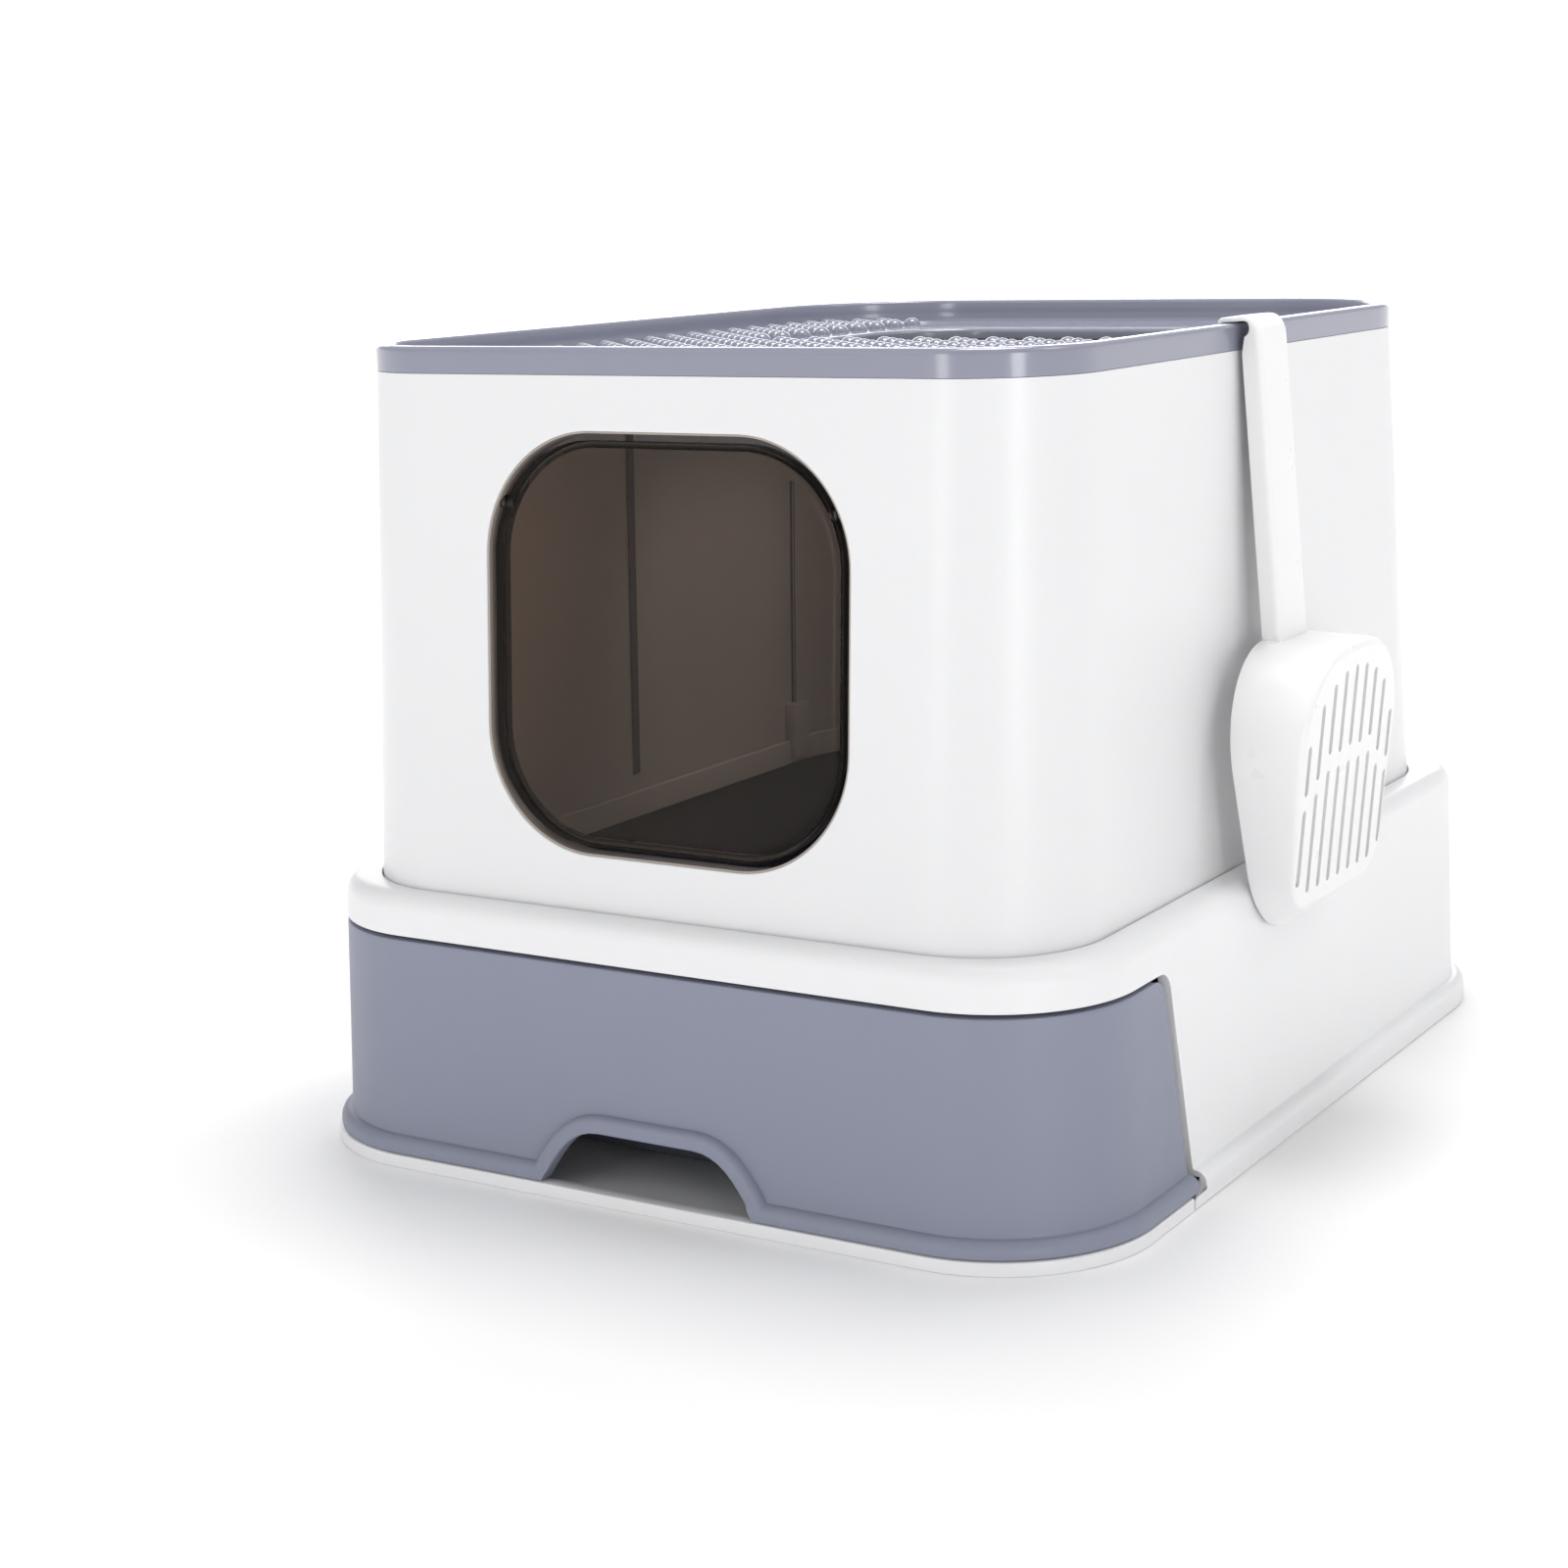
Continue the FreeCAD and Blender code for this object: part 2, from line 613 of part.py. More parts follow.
def build_hood_clips():
    """Four stepped tongues inside the hood's foot that slide down inside the base's skirt."""
    skirt_face = "(hood_foot_width / 2 - seat_inset)"
    hood_face = ("(" + between("hood_foot_width", "hood_rim_width", "hood_bottom", "hood_top",
                               "clip_top") + ") / 2 - hood_wall")
    clips = []
    for x_side in (-1, 1):
        for middle in ("clip_front", "clip_rear"):
            y = f"{middle} - clip_width / 2"
            inner = f"({skirt_face} - 0.4 - clip_thickness)"
            block_width = f"({hood_face}) - {inner}"
            if x_side > 0:
                block_x, tongue_x = inner, inner
            else:
                block_x = f"-({hood_face})"
                tongue_x = f"-({inner}) - clip_thickness"
            block = new_box("clip_block", (block_x, y, "hood_bottom + 0.5"),
                            (block_width, "clip_width", "clip_top - hood_bottom - 0.5"))
            tongue = new_box("clip_tongue", (tongue_x, y, "clip_bottom"),
                             ("clip_thickness", "clip_width", "hood_bottom + 1 - clip_bottom"))
            clip = document.addObject("Part::Fuse", "hood_clip")
            clip.Base, clip.Tool = block, tongue
            clips.append(clip)
    group = document.addObject("Part::Compound", "hood_clips")
    group.Links = clips
    group.Label = "hood_clips"
    return group


# ------------------------------------------------------------------------ flap
def build_door_flap():
    """The clear swing flap: a thin pane in a deeper rim, with two bosses for its pivots."""
    body = new_body("door_flap")
    width = "door_width - 2 * flap_gap"
    height = "door_height - 2 * flap_gap"
    corner = "door_corner - flap_gap"
    rim = door_sketch(body, "rim_outline", "-flap_recess")
    add_outline(rim, width, height, corner, corner)
    extrude(body, "Pad", "rim", rim, "flap_rim_depth", backwards=True)
    hollow = door_sketch(body, "hollow_outline", "-flap_recess - flap_pane")
    inset = "2 * flap_rim_wall"
    add_outline(hollow, f"{width} - {inset}", f"{height} - {inset}", f"{corner} - flap_rim_wall",
                f"{corner} - flap_rim_wall")
    extrude(body, "Pocket", "hollow", hollow, "flap_rim_depth")
    for side, start in (("right", "pivot_inner"), ("left", "-pivot_inner")):
        hole = new_sketch(body, "pin_hole_" + side, "YZ_Plane", start)
        add_pivot_circle(hole, "pivot_radius")
        extrude(body, "Pocket", "pin_bore_" + side, hole, "20", backwards=side == "right")
    return body


def build_flap_pin(label, side):
    """One of the two short pins that the flap swings on."""
    pin = document.addObject("Part::Cylinder", label)
    pin.Label = label
    pin.setExpression("Radius", bound("pivot_radius"))
    pin.setExpression("Height", bound("pivot_outer - pivot_inner"))
    pin.Placement = Placement(Vector(0, 0, 0), Rotation(Vector(0, 1, 0), 90))
    start = "pivot_inner" if side > 0 else "-pivot_outer"
    pin.setExpression("Placement.Base.x", bound(start))
    pin.setExpression("Placement.Base.y", bound(f"-({PIVOT_FRONT})"))
    pin.setExpression("Placement.Base.z", bound("pivot_height"))
    return pin


# ------------------------------------------------------------------------- lid
def bump_places():
    """The tread's bumps in staggered rows, in front of the hatch and down both sides."""
    pitch = value("bump_pitch")
    row_step = pitch / 2
    side_limit = value("bump_side_limit")
    half_width = value("hatch_width / 2 + hatch_collar + bump_radius + 1")
    hatch_front = value("hatch_centre - hatch_depth / 2 - hatch_collar - bump_radius - 1")
    hook_half = value("handle_width / 2 + bump_radius + 1")
    row, y = 0, value("bump_front")
    while y <= value("bump_rear_limit"):
        x = -pitch * math.floor(side_limit / pitch) + (pitch / 2 if row % 2 else 0)
        while x <= side_limit:
            beside_hatch = y < hatch_front or abs(x) > half_width
            front_reach = value("hood_rim_depth / 2") - abs(y)
            in_corner = abs(x) > side_limit - 22 and front_reach < 44
            under_hook = x > 150 and abs(y - value("scoop_offset")) < hook_half
            if beside_hatch and not in_corner and not under_hook:
                yield x, y
            x += pitch
        row += 1
        y += row_step


def build_lid():
    """The lid: a raised rim, a sunk tread with round bumps and a hatch for top entry."""
    body = new_body("lid_tray")
    blank = rim_outline(body, "blank_outline", "hood_top")
    extrude(body, "Pad", "blank", blank, "lid_top - hood_top")
    round_edges(body, "rim_rounding", "lid_round", level("lid_top"))
    plate = rim_outline(body, "plate_outline", "tread_height - tread_thickness",
                        "lid_rim_width - lid_wall")
    extrude(body, "Pad", "tread_plate", plate, "hood_top + 1 - tread_height + tread_thickness")
    sunk = rim_outline(body, "sunk_outline", "tread_height", "lid_rim_width")
    extrude(body, "Pocket", "sunk_tread", sunk, "30", backwards=True)
    channel = rim_outline(body, "channel_outline", "hood_top - 1", "lid_wall")
    add_outline(channel, "hood_rim_width - 2 * (lid_rim_width - lid_wall)",
                "hood_rim_depth - 2 * (lid_rim_width - lid_wall)",
                "hood_rim_front_corner - lid_rim_width + lid_wall",
                "hood_rim_rear_corner - lid_rim_width + lid_wall")
    extrude(body, "Pocket", "channel", channel, "lid_top - hood_top + 1 - lid_wall", backwards=True)
    collar = outline(body, "collar_outline", "tread_height - 6", "hatch_width + 2 * hatch_collar",
                     "hatch_depth + 2 * hatch_collar", "hatch_corner + hatch_collar",
                     centre="hatch_centre")
    extrude(body, "Pad", "hatch_collar_ring", collar, "7")
    hatch = outline(body, "hatch_outline", "tread_height - 20", "hatch_width", "hatch_depth",
                    "hatch_corner", centre="hatch_centre")
    extrude(body, "Pocket", "hatch", hatch, "40", backwards=True)
    radius = value("bump_radius")
    sink = 0.4
    domes = [Part.makeSphere(radius, Vector(x, y, value("tread_height") - sink), Vector(0, 0, 1),
                             0, 90, 360) for x, y in bump_places()]
    bumps = document.addObject("Part::Feature", "tread_bumps")
    bumps.Shape = Part.makeCompound(domes)
    lid = document.addObject("Part::Fuse", "lid")
    lid.Base, lid.Tool = body, bumps
    lid.Label = "lid"
    return lid


# ----------------------------------------------------------------------- scoop
def bowl_sketch(body, name, offset, tilt, inset, start, length, widths, rounds):
    """The bowl's outline seen from the open side: round shoulders and a rounder tip."""
    sketch = new_sketch(body, name, "XY_Plane")
    sketch.AttachmentOffset = Placement(Vector(0, 0, 0), Rotation(Vector(1, 0, 0), 1))
    sketch.setExpression("AttachmentOffset.Base.y", bound(f"-({start})"))
    sketch.setExpression("AttachmentOffset.Base.z", bound(offset))
    sketch.setExpression("AttachmentOffset.Rotation.Angle", bound(tilt))
    half, tip_half = (value(width) / 2 - inset for width in widths)
    top_round, tip_round = (value(radius) - inset for radius in rounds)
    long = value(length) - inset
    top = -inset
    lean = math.atan2(half - tip_half, long - top_round - tip_round)
    side_top = Vector(half - top_round, top - top_round, 0)
    side_tip = Vector(tip_half - tip_round, -long + tip_round, 0)

    def on_circle(centre, radius, angle):
        return centre + Vector(radius * math.cos(angle), radius * math.sin(angle), 0)

    def mirrored(point):
        return Vector(-point.x, point.y, 0)
    side = -lean
    a, b = on_circle(side_top, top_round, math.pi / 2), on_circle(side_top, top_round, side)
    c, d = on_circle(side_tip, tip_round, side), on_circle(side_tip, tip_round, -math.pi / 2)
    top_mid = on_circle(side_top, top_round, (math.pi / 2 + side) / 2)
    tip_mid = on_circle(side_tip, tip_round, (side - math.pi / 2) / 2)
    pieces = [Part.Arc(a, top_mid, b), Part.LineSegment(b, c), Part.Arc(c, tip_mid, d),
              Part.LineSegment(d, mirrored(d)),
              Part.Arc(mirrored(d), mirrored(tip_mid), mirrored(c)),
              Part.LineSegment(mirrored(c), mirrored(b)),
              Part.Arc(mirrored(b), mirrored(top_mid), mirrored(a)),
              Part.LineSegment(mirrored(a), a)]
    for piece in pieces:
        sketch.addGeometry(piece)
    for index in range(len(pieces)):
        sketch.addConstraint(Sketcher.Constraint("Block", index))
    return sketch


def build_scoop():
    """A slotted scoop: open bowl, channel handle, and a hook that rides on the lid's rim.

    It is drawn lying on its open side: X across, Y up the handle, Z away from the wall.
    """
    body = new_body("scoop")
    rim = ("bowl_start", "bowl_length", ("bowl_width", "bowl_tip_width"),
           ("bowl_top_round", "bowl_tip_round"))
    back = ("bowl_start + bowl_draft", "bowl_back_length",
            ("bowl_back_width", "bowl_back_tip_width"), ("bowl_back_round", "bowl_back_tip_round"))
    loft(body, "AdditiveLoft", "bowl", bowl_sketch(body, "bowl_rim", "0", "0", 0, *rim),
         bowl_sketch(body, "bowl_back", "bowl_depth", "bowl_slope", 0, *back))
    wall = value("bowl_wall")
    loft(body, "SubtractiveLoft", "bowl_hollow",
         bowl_sketch(body, "bowl_rim_inside", "0", "0", wall, *rim),
         bowl_sketch(body, "bowl_back_inside", "bowl_depth - bowl_wall", "bowl_slope",
                     1.8 * wall, *back))
    handle = new_sketch(body, "handle_outline")
    add_polygon(handle, [("-handle_width / 2", "-handle_length"),
                         ("handle_width / 2", "-handle_length"),
                         ("handle_width / 2", "hook_rise + hook_wall"),
                         ("-handle_width / 2", "hook_rise + hook_wall")])
    extrude(body, "Pad", "handle", handle, "handle_thickness")
    top = value("hook_rise + hook_wall")
    thick = value("handle_thickness")
    round_edges(body, "handle_rounding", "handle_round",
                lambda box: abs(box.ZMin - thick) < 0.01 and abs(box.ZMax - thick) < 0.01
                and box.YMax > -value("bowl_start") + 1)
    channel = new_sketch(body, "channel_outline")
    add_polygon(channel, [("-handle_width / 2 + handle_wall", "-bowl_start - bowl_wall"),
                          ("handle_width / 2 - handle_wall", "-bowl_start - bowl_wall"),
                          ("handle_width / 2 - handle_wall", "-12"),
                          ("-handle_width / 2 + handle_wall", "-12")])
    extrude(body, "Pocket", "channel", channel, "handle_thickness - 2.4", backwards=True)
    hook = new_sketch(body, "hook_side", "YZ_Plane")
    add_polygon(hook, [("hook_rise", "1"), ("hook_rise + hook_wall", "1"),
                       ("hook_rise + hook_wall", "-hook_reach"), ("-hook_drop", "-hook_reach"),
                       ("-hook_drop", "-hook_reach + hook_wall"),
                       ("hook_rise", "-hook_reach + hook_wall")])
    extrude(body, "Pad", "hook", hook, "handle_width - 2", both_ways=True)
    reach = [[(151, 187), (152, 188), (156, 187), (163, 196), (179, 201)],
             [(194, 246), (194, 246), (194, 246), (202, 246), (207, 246)]]
    for row, ends in enumerate(reach, start=1):
        slots = new_sketch(body, "slots_%d" % row, "XY_Plane", "bowl_depth + 20")
        count = int(value("slot_count"))
        for index in range(count):
            place = index - (count - 1) // 2
            x = place * value("slot_pitch")
            half = value("slot_width") / 2
            high, low = (-end for end in ends[abs(place)])
            high, low = high - half, low + half
            arc_top = Part.ArcOfCircle(Part.Circle(Vector(x, high, 0), Vector(0, 0, 1), half),
                                       0, math.pi)
            arc_low = Part.ArcOfCircle(Part.Circle(Vector(x, low, 0), Vector(0, 0, 1), half),
                                       math.pi, 2 * math.pi)
            sides = [Part.LineSegment(Vector(x - half, high, 0), Vector(x - half, low, 0)),
                     Part.LineSegment(Vector(x + half, low, 0), Vector(x + half, high, 0))]
            for piece in (arc_top, sides[0], arc_low, sides[1]):
                drawn = slots.addGeometry(piece)
                slots.addConstraint(Sketcher.Constraint("Block", drawn))
        extrude(body, "Pocket", "slot_row_%d" % row, slots, "bowl_depth + 20 - 5")
    lean = Rotation(Vector(0, 1, 0), -value("scoop_lean"))
    turn = Rotation(Vector(0, 0, 1), 90) * Rotation(Vector(1, 0, 0), 90)
    body.Placement = Placement(Vector(value("scoop_face"), value("scoop_offset"),
                                      value("scoop_top")), lean * turn)
    return body


# ---------------------------------------------------------------------- export
def check_document():
    document.recompute()
    for item in document.Objects:
        if "Invalid" in item.State or "Error" in item.State:
            raise RuntimeError(f"{item.Name} failed: {item.State}")


def export(parts):
    os.makedirs("parts", exist_ok=True)
    for part in parts:
        shape = part.Shape
        if shape.isNull() or not shape.isValid() or not shape.Solids:
            raise RuntimeError(f"{part.Label} has no valid solid")
    for part in parts:
        part.Shape.exportStep(os.path.join("parts", part.Label + ".step"))
        volume = round(part.Shape.Volume / 1000, 1)
        print(part.Label, "solids", len(part.Shape.Solids), "volume", volume, "cm3")


PARTS = [
    build_base_plate(),
    build_base_shell(),
    build_litter_pan(),
    build_drawer_front(),
    build_hood_half("hood_front", True),
    build_hood_half("hood_rear", False),
    build_joint_strip("joint_strip_left", -1),
    build_joint_strip("joint_strip_right", 1),
    build_hood_clips(),
    build_door_flap(),
    build_flap_pin("flap_pin_left", -1),
    build_flap_pin("flap_pin_right", 1),
    build_lid(),
    build_scoop(),
]
check_document()
export(PARTS)
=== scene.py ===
"""Visual model of a hooded cat litter box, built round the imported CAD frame.

Frame: X right, Y to the rear, Z up, origin at the middle of the underside. The
drawer and the entry flap face -Y. Shapes are worked out in millimetres and
turned into metres where each mesh is made.
"""

import math

import bmesh
import bpy
from mathutils import Matrix, Vector


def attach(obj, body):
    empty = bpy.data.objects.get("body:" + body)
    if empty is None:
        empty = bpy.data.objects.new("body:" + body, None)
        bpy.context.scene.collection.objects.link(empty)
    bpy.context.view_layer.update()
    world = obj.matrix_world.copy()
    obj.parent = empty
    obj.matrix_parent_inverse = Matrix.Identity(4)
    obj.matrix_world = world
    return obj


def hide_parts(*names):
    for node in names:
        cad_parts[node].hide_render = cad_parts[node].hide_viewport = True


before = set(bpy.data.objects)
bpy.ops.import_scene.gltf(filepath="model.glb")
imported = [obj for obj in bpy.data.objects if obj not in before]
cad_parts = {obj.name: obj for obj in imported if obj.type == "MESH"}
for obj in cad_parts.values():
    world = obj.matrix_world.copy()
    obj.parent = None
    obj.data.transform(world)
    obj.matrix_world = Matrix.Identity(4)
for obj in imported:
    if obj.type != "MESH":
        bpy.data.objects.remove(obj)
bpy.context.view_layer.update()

MM = 0.001


# ------------------------------------------------------------------ small maths
def mix(low, high, share):
    return low + (high - low) * share


def spread(low, high, steps):
    """steps + 1 values from low to high."""
    return [mix(low, high, i / steps) for i in range(steps + 1)]


def quarter(steps, first=0.0, last=90.0):
    """Cosine and sine at equal steps between two angles in degrees."""
    angles = [math.radians(a) for a in spread(first, last, steps)]
    return [(math.cos(a), math.sin(a)) for a in angles]


def full_turn(steps):
    """Equally spaced angles once round, without the last one."""
    return [2 * math.pi * i / steps for i in range(steps)]


# ---------------------------------------------------------------------- outlines
ARC_STEPS = 24
SIDE_STEPS = 10
SPLIT = 6
END_STEPS = 50


def half_ring(half_x, half_y, radius, sign, middle=0.0, split=None, start=None):
    """Points from one side wall round the front (sign -1) or rear (+1) to the other.

    The side walls run from start, or from middle, with point number SPLIT at split.
    """
    corner = half_y * sign - radius * sign + middle
    begin = middle if start is None else start
    if split is None:
        side = spread(begin, corner, SIDE_STEPS)[:-1]
    else:
        side = spread(begin, split, SPLIT)[:-1] + spread(split, corner, SIDE_STEPS - SPLIT)[:-1]
    right = [(half_x, y) for y in side]
    flat = half_x - radius
    for c, s in quarter(ARC_STEPS):
        right.append((flat + radius * c, corner + sign * radius * s))
    across = [(x, corner + sign * radius) for x in spread(flat, -flat, END_STEPS)][1:-1]
    return right + across + [(-x, y) for x, y in reversed(right)]


FRONT_FIRST = SIDE_STEPS + ARC_STEPS
FRONT_LAST = FRONT_FIRST + END_STEPS
HALF_COUNT = FRONT_LAST + ARC_STEPS + SIDE_STEPS + 1


def full_ring(half_x, half_y, front, rear, middle=0.0, split=None):
    """A closed ring: the rear half, then the front half back to the start."""
    behind = half_ring(half_x, half_y, rear, 1, middle)
    ahead = half_ring(half_x, half_y, front, -1, middle, split)
    return behind + ahead[::-1][1:-1]


def raised(points, height):
    return [Vector((x, y, height)) for x, y in points]


# --------------------------------------------------------------------- materials
def new_material(name):
    material = bpy.data.materials.new(name)
    material.use_nodes = True
    tree = material.node_tree
    return material, tree, tree.nodes["Principled BSDF"]


def noise(tree, scale, detail=2.0, roughness=0.5):
    where = tree.nodes.new("ShaderNodeTexCoord")
    node = tree.nodes.new("ShaderNodeTexNoise")
    node.inputs["Scale"].default_value = scale
    node.inputs["Detail"].default_value = detail
    node.inputs["Roughness"].default_value = roughness
    tree.links.new(where.outputs["Object"], node.inputs["Vector"])
    return node.outputs["Fac"]


def ramp(tree, value, low, high, low_at=0.35, high_at=0.65):
    node = tree.nodes.new("ShaderNodeMapRange")
    node.inputs["From Min"].default_value = low_at
    node.inputs["From Max"].default_value = high_at
    node.inputs["To Min"].default_value = low
    node.inputs["To Max"].default_value = high
    tree.links.new(value, node.inputs["Value"])
    return node.outputs["Result"]


def tint(tree, value, low, high):
    node = tree.nodes.new("ShaderNodeMix")
    node.data_type = "RGBA"
    node.inputs["A"].default_value = (*low, 1)
    node.inputs["B"].default_value = (*high, 1)
    tree.links.new(value, node.inputs["Factor"])
    return node.outputs["Result"]


def moulded_plastic(name, colour, shade, gloss, grain=0.000006, grain_scale=1500.0,
                    coat=0.0, subsurface=0.0):
    """Injection-moulded plastic: faint tone drift, uneven polish and a fine skin texture."""
    material, tree, surface = new_material(name)
    drift = ramp(tree, noise(tree, 9.0, 2.0), 0.0, 1.0, 0.2, 0.8)
    darker = tuple(c * shade for c in colour)
    tree.links.new(tint(tree, drift, darker, colour), surface.inputs["Base Color"])
    polish = ramp(tree, noise(tree, 55.0, 2.0), gloss[0], gloss[1], 0.2, 0.8)
    tree.links.new(polish, surface.inputs["Roughness"])
    bump = tree.nodes.new("ShaderNodeBump")
    bump.inputs["Strength"].default_value = 1.0
    bump.inputs["Distance"].default_value = grain
    tree.links.new(noise(tree, grain_scale, 2.0, 0.6), bump.inputs["Height"])
    tree.links.new(bump.outputs["Normal"], surface.inputs["Normal"])
    surface.inputs["IOR"].default_value = 1.49
    if coat:
        surface.inputs["Coat Weight"].default_value = coat
        surface.inputs["Coat Roughness"].default_value = 0.12
    if subsurface:
        surface.inputs["Subsurface Weight"].default_value = subsurface
        surface.inputs["Subsurface Scale"].default_value = 0.002
    return material


def smoke_plastic(name, through, cover, gloss):
    """Clear tinted acrylic: a polished dark skin over a film that colours what lies behind."""
    material, tree, surface = new_material(name)
    surface.inputs["Base Color"].default_value = (0.01, 0.008, 0.006, 1)
    surface.inputs["IOR"].default_value = 1.5
    tree.links.new(ramp(tree, noise(tree, 30.0, 3.0), *gloss), surface.inputs["Roughness"])
    film = tree.nodes.new("ShaderNodeBsdfTransparent")
    film.inputs["Color"].default_value = (*through, 1)
    both = tree.nodes.new("ShaderNodeMixShader")
    both.inputs["Fac"].default_value = cover
    tree.links.new(film.outputs["BSDF"], both.inputs[1])
    tree.links.new(surface.outputs["BSDF"], both.inputs[2])
    tree.links.new(both.outputs["Shader"], tree.nodes["Material Output"].inputs["Surface"])
    return material


SATIN_GRAIN = {"grain": 0.00001, "grain_scale": 1300.0}
# painted shade: the hood's white is the base's white plastic set darker, to tone down the upper
# walls under these lamps
HOOD_WHITE_SHADED = moulded_plastic("hood_white_shaded_plastic", (0.81, 0.81, 0.822), 0.985, (0.28, 0.36),
                             subsurface=0.05)
BASE_WHITE = moulded_plastic("base_white_plastic", (0.86, 0.86, 0.872), 0.985, (0.3, 0.4),
                             subsurface=0.05)
SCOOP_WHITE = moulded_plastic("scoop_white_plastic", (0.88, 0.88, 0.885), 0.992, (0.26, 0.34))
DRAWER_GREY = moulded_plastic("drawer_grey_plastic", (0.255, 0.27, 0.35), 0.97, (0.42, 0.52),
                              **SATIN_GRAIN)
PAN_GREY = moulded_plastic("pan_grey_plastic", (0.075, 0.08, 0.105), 0.95, (0.4, 0.5),
                           **SATIN_GRAIN)
LID_GREY = moulded_plastic("lid_grey_plastic", (0.26, 0.27, 0.345), 0.98, (0.18, 0.24), coat=0.5)
# painted shade: mid grey for the joint strips and the rear clips' ribs, so they draw the dark
# lines of the hood's inner joint and rear corners
SHADE_LINE_GREY = moulded_plastic("shade_line_grey_plastic", (0.3, 0.3, 0.34), 0.95, (0.45, 0.55))
PIN_DARK = moulded_plastic("pin_dark_plastic", (0.012, 0.011, 0.012), 0.9, (0.25, 0.35))
SMOKE = smoke_plastic("smoke_acrylic", (0.95, 0.855, 0.775), 0.2, (0.03, 0.06))
SMOKE_RIM = moulded_plastic("smoke_rim_plastic", (0.02, 0.0175, 0.016), 0.9, (0.07, 0.12))
# painted shade: a dark brownish tone for the entry's white reveal wall, which lies in the flap's
# shadow
REVEAL_SHADE = moulded_plastic("reveal_painted_shade_plastic", (0.4, 0.345, 0.31), 0.96, (0.16, 0.24))


# ------------------------------------------------------------------- mesh making
SHARP = math.radians(36)


class Solid:
    """Collects points and faces in millimetres and turns them into one piece."""

    def __init__(self):
        self.points, self.faces, self.tones = [], [], []

    def face(self, corners):
        first = len(self.points)
        self.points.extend(corners)
        self.faces.append(list(range(first, first + len(corners))))
        self.tones.append(0)

    def grid(self, rows, round_path=False, round_profile=False, skip=None, dark=()):
        """Quads between rows of points. skip(row, column) leaves a quad out.

        The rows numbered in dark take the piece's second material.
        """
        first, width = len(self.points), len(rows[0])
        for row in rows:
            self.points.extend(row)
        for j in range(len(rows) if round_profile else len(rows) - 1):
            after = (j + 1) % len(rows)
            for i in range(width if round_path else width - 1):
                if skip and skip(j, i):
                    continue
                right = (i + 1) % width
                self.faces.append([first + j * width + i, first + j * width + right,
                                   first + after * width + right, first + after * width + i])
                self.tones.append(1 if j in dark else 0)

    def mesh(self, name):
        mesh = bpy.data.meshes.new(name)
        mesh.from_pydata([tuple(c * MM for c in p) for p in self.points], [], self.faces)
        mesh.polygons.foreach_set("material_index", self.tones)
        work = bmesh.new()
        work.from_mesh(mesh)
        bmesh.ops.remove_doubles(work, verts=work.verts, dist=2e-6)
        bmesh.ops.dissolve_degenerate(work, edges=work.edges, dist=1e-7)
        bmesh.ops.recalc_face_normals(work, faces=work.faces)
        work.to_mesh(mesh)
        work.free()
        return mesh


def put(thing):
    """Links an object into the scene."""
    bpy.context.scene.collection.objects.link(thing)


def piece(name, mesh, materials, body, nodes, sharp=SHARP):
    """A finished object that rides on a body and stands for CAD nodes."""
    thing = bpy.data.objects.new(name, mesh)
    put(thing)
    tones = [face.material_index for face in mesh.polygons]
    mesh.materials.clear()
    for material in materials:
        mesh.materials.append(material)
    mesh.polygons.foreach_set("material_index", [min(t, len(materials) - 1) for t in tones])
    mesh.polygons.foreach_set("use_smooth", [True] * len(mesh.polygons))
    mesh.set_sharp_from_angle(angle=sharp)
    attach(thing, body)
    if nodes:
        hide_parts(*nodes)
    return thing


# ------------------------------------------------------------ sizes of the walls
LEDGE_Z = 125.0
RAIL_Z = 106.0
FLANGE = (205.0, 260.0, 70.0)
BEAD = (204.5, 259.5, 69.5)
BEAD_TOP = 14.0
BEAD_ROUND = 5.0
WALL = 3.0

HOOD_LOW, HOOD_HIGH = 120.5, 352.6
HOOD_LEAN = math.atan((238.0 - 224.0) / (HOOD_HIGH - HOOD_LOW))


def base_wall(height, inset=0.0):
    """Half width, half depth and corner radius of the base's leaning wall."""
    share = height / LEDGE_Z
    return (mix(199.5, 195.5, share) - inset, mix(254.5, 250.5, share) - inset,
            mix(66.0, 62.0, share) - inset)


def hood_wall(height, inset=0.0):
    """Half width, half depth, front and rear corner radius of the hood's wall."""
    share = min((height - HOOD_LOW) / (HOOD_HIGH - HOOD_LOW), 1.0)
    return (mix(180.0, 175.25, share) - inset, mix(238.0, 224.0, share) - inset,
            mix(54.0, 48.0, share) - inset, mix(70.0, 84.0, share) - inset)


def opening_edge(height):
    """Y of the drawer opening's sloping side edge, with its rounded top corner."""
    edge = -134.0 - 21.0 * height / RAIL_Z
    corner = 8.0
    up = height - (RAIL_Z - corner)
    if up > 0:
        edge -= corner - math.sqrt(max(corner * corner - up * up, 0.0))
    return edge


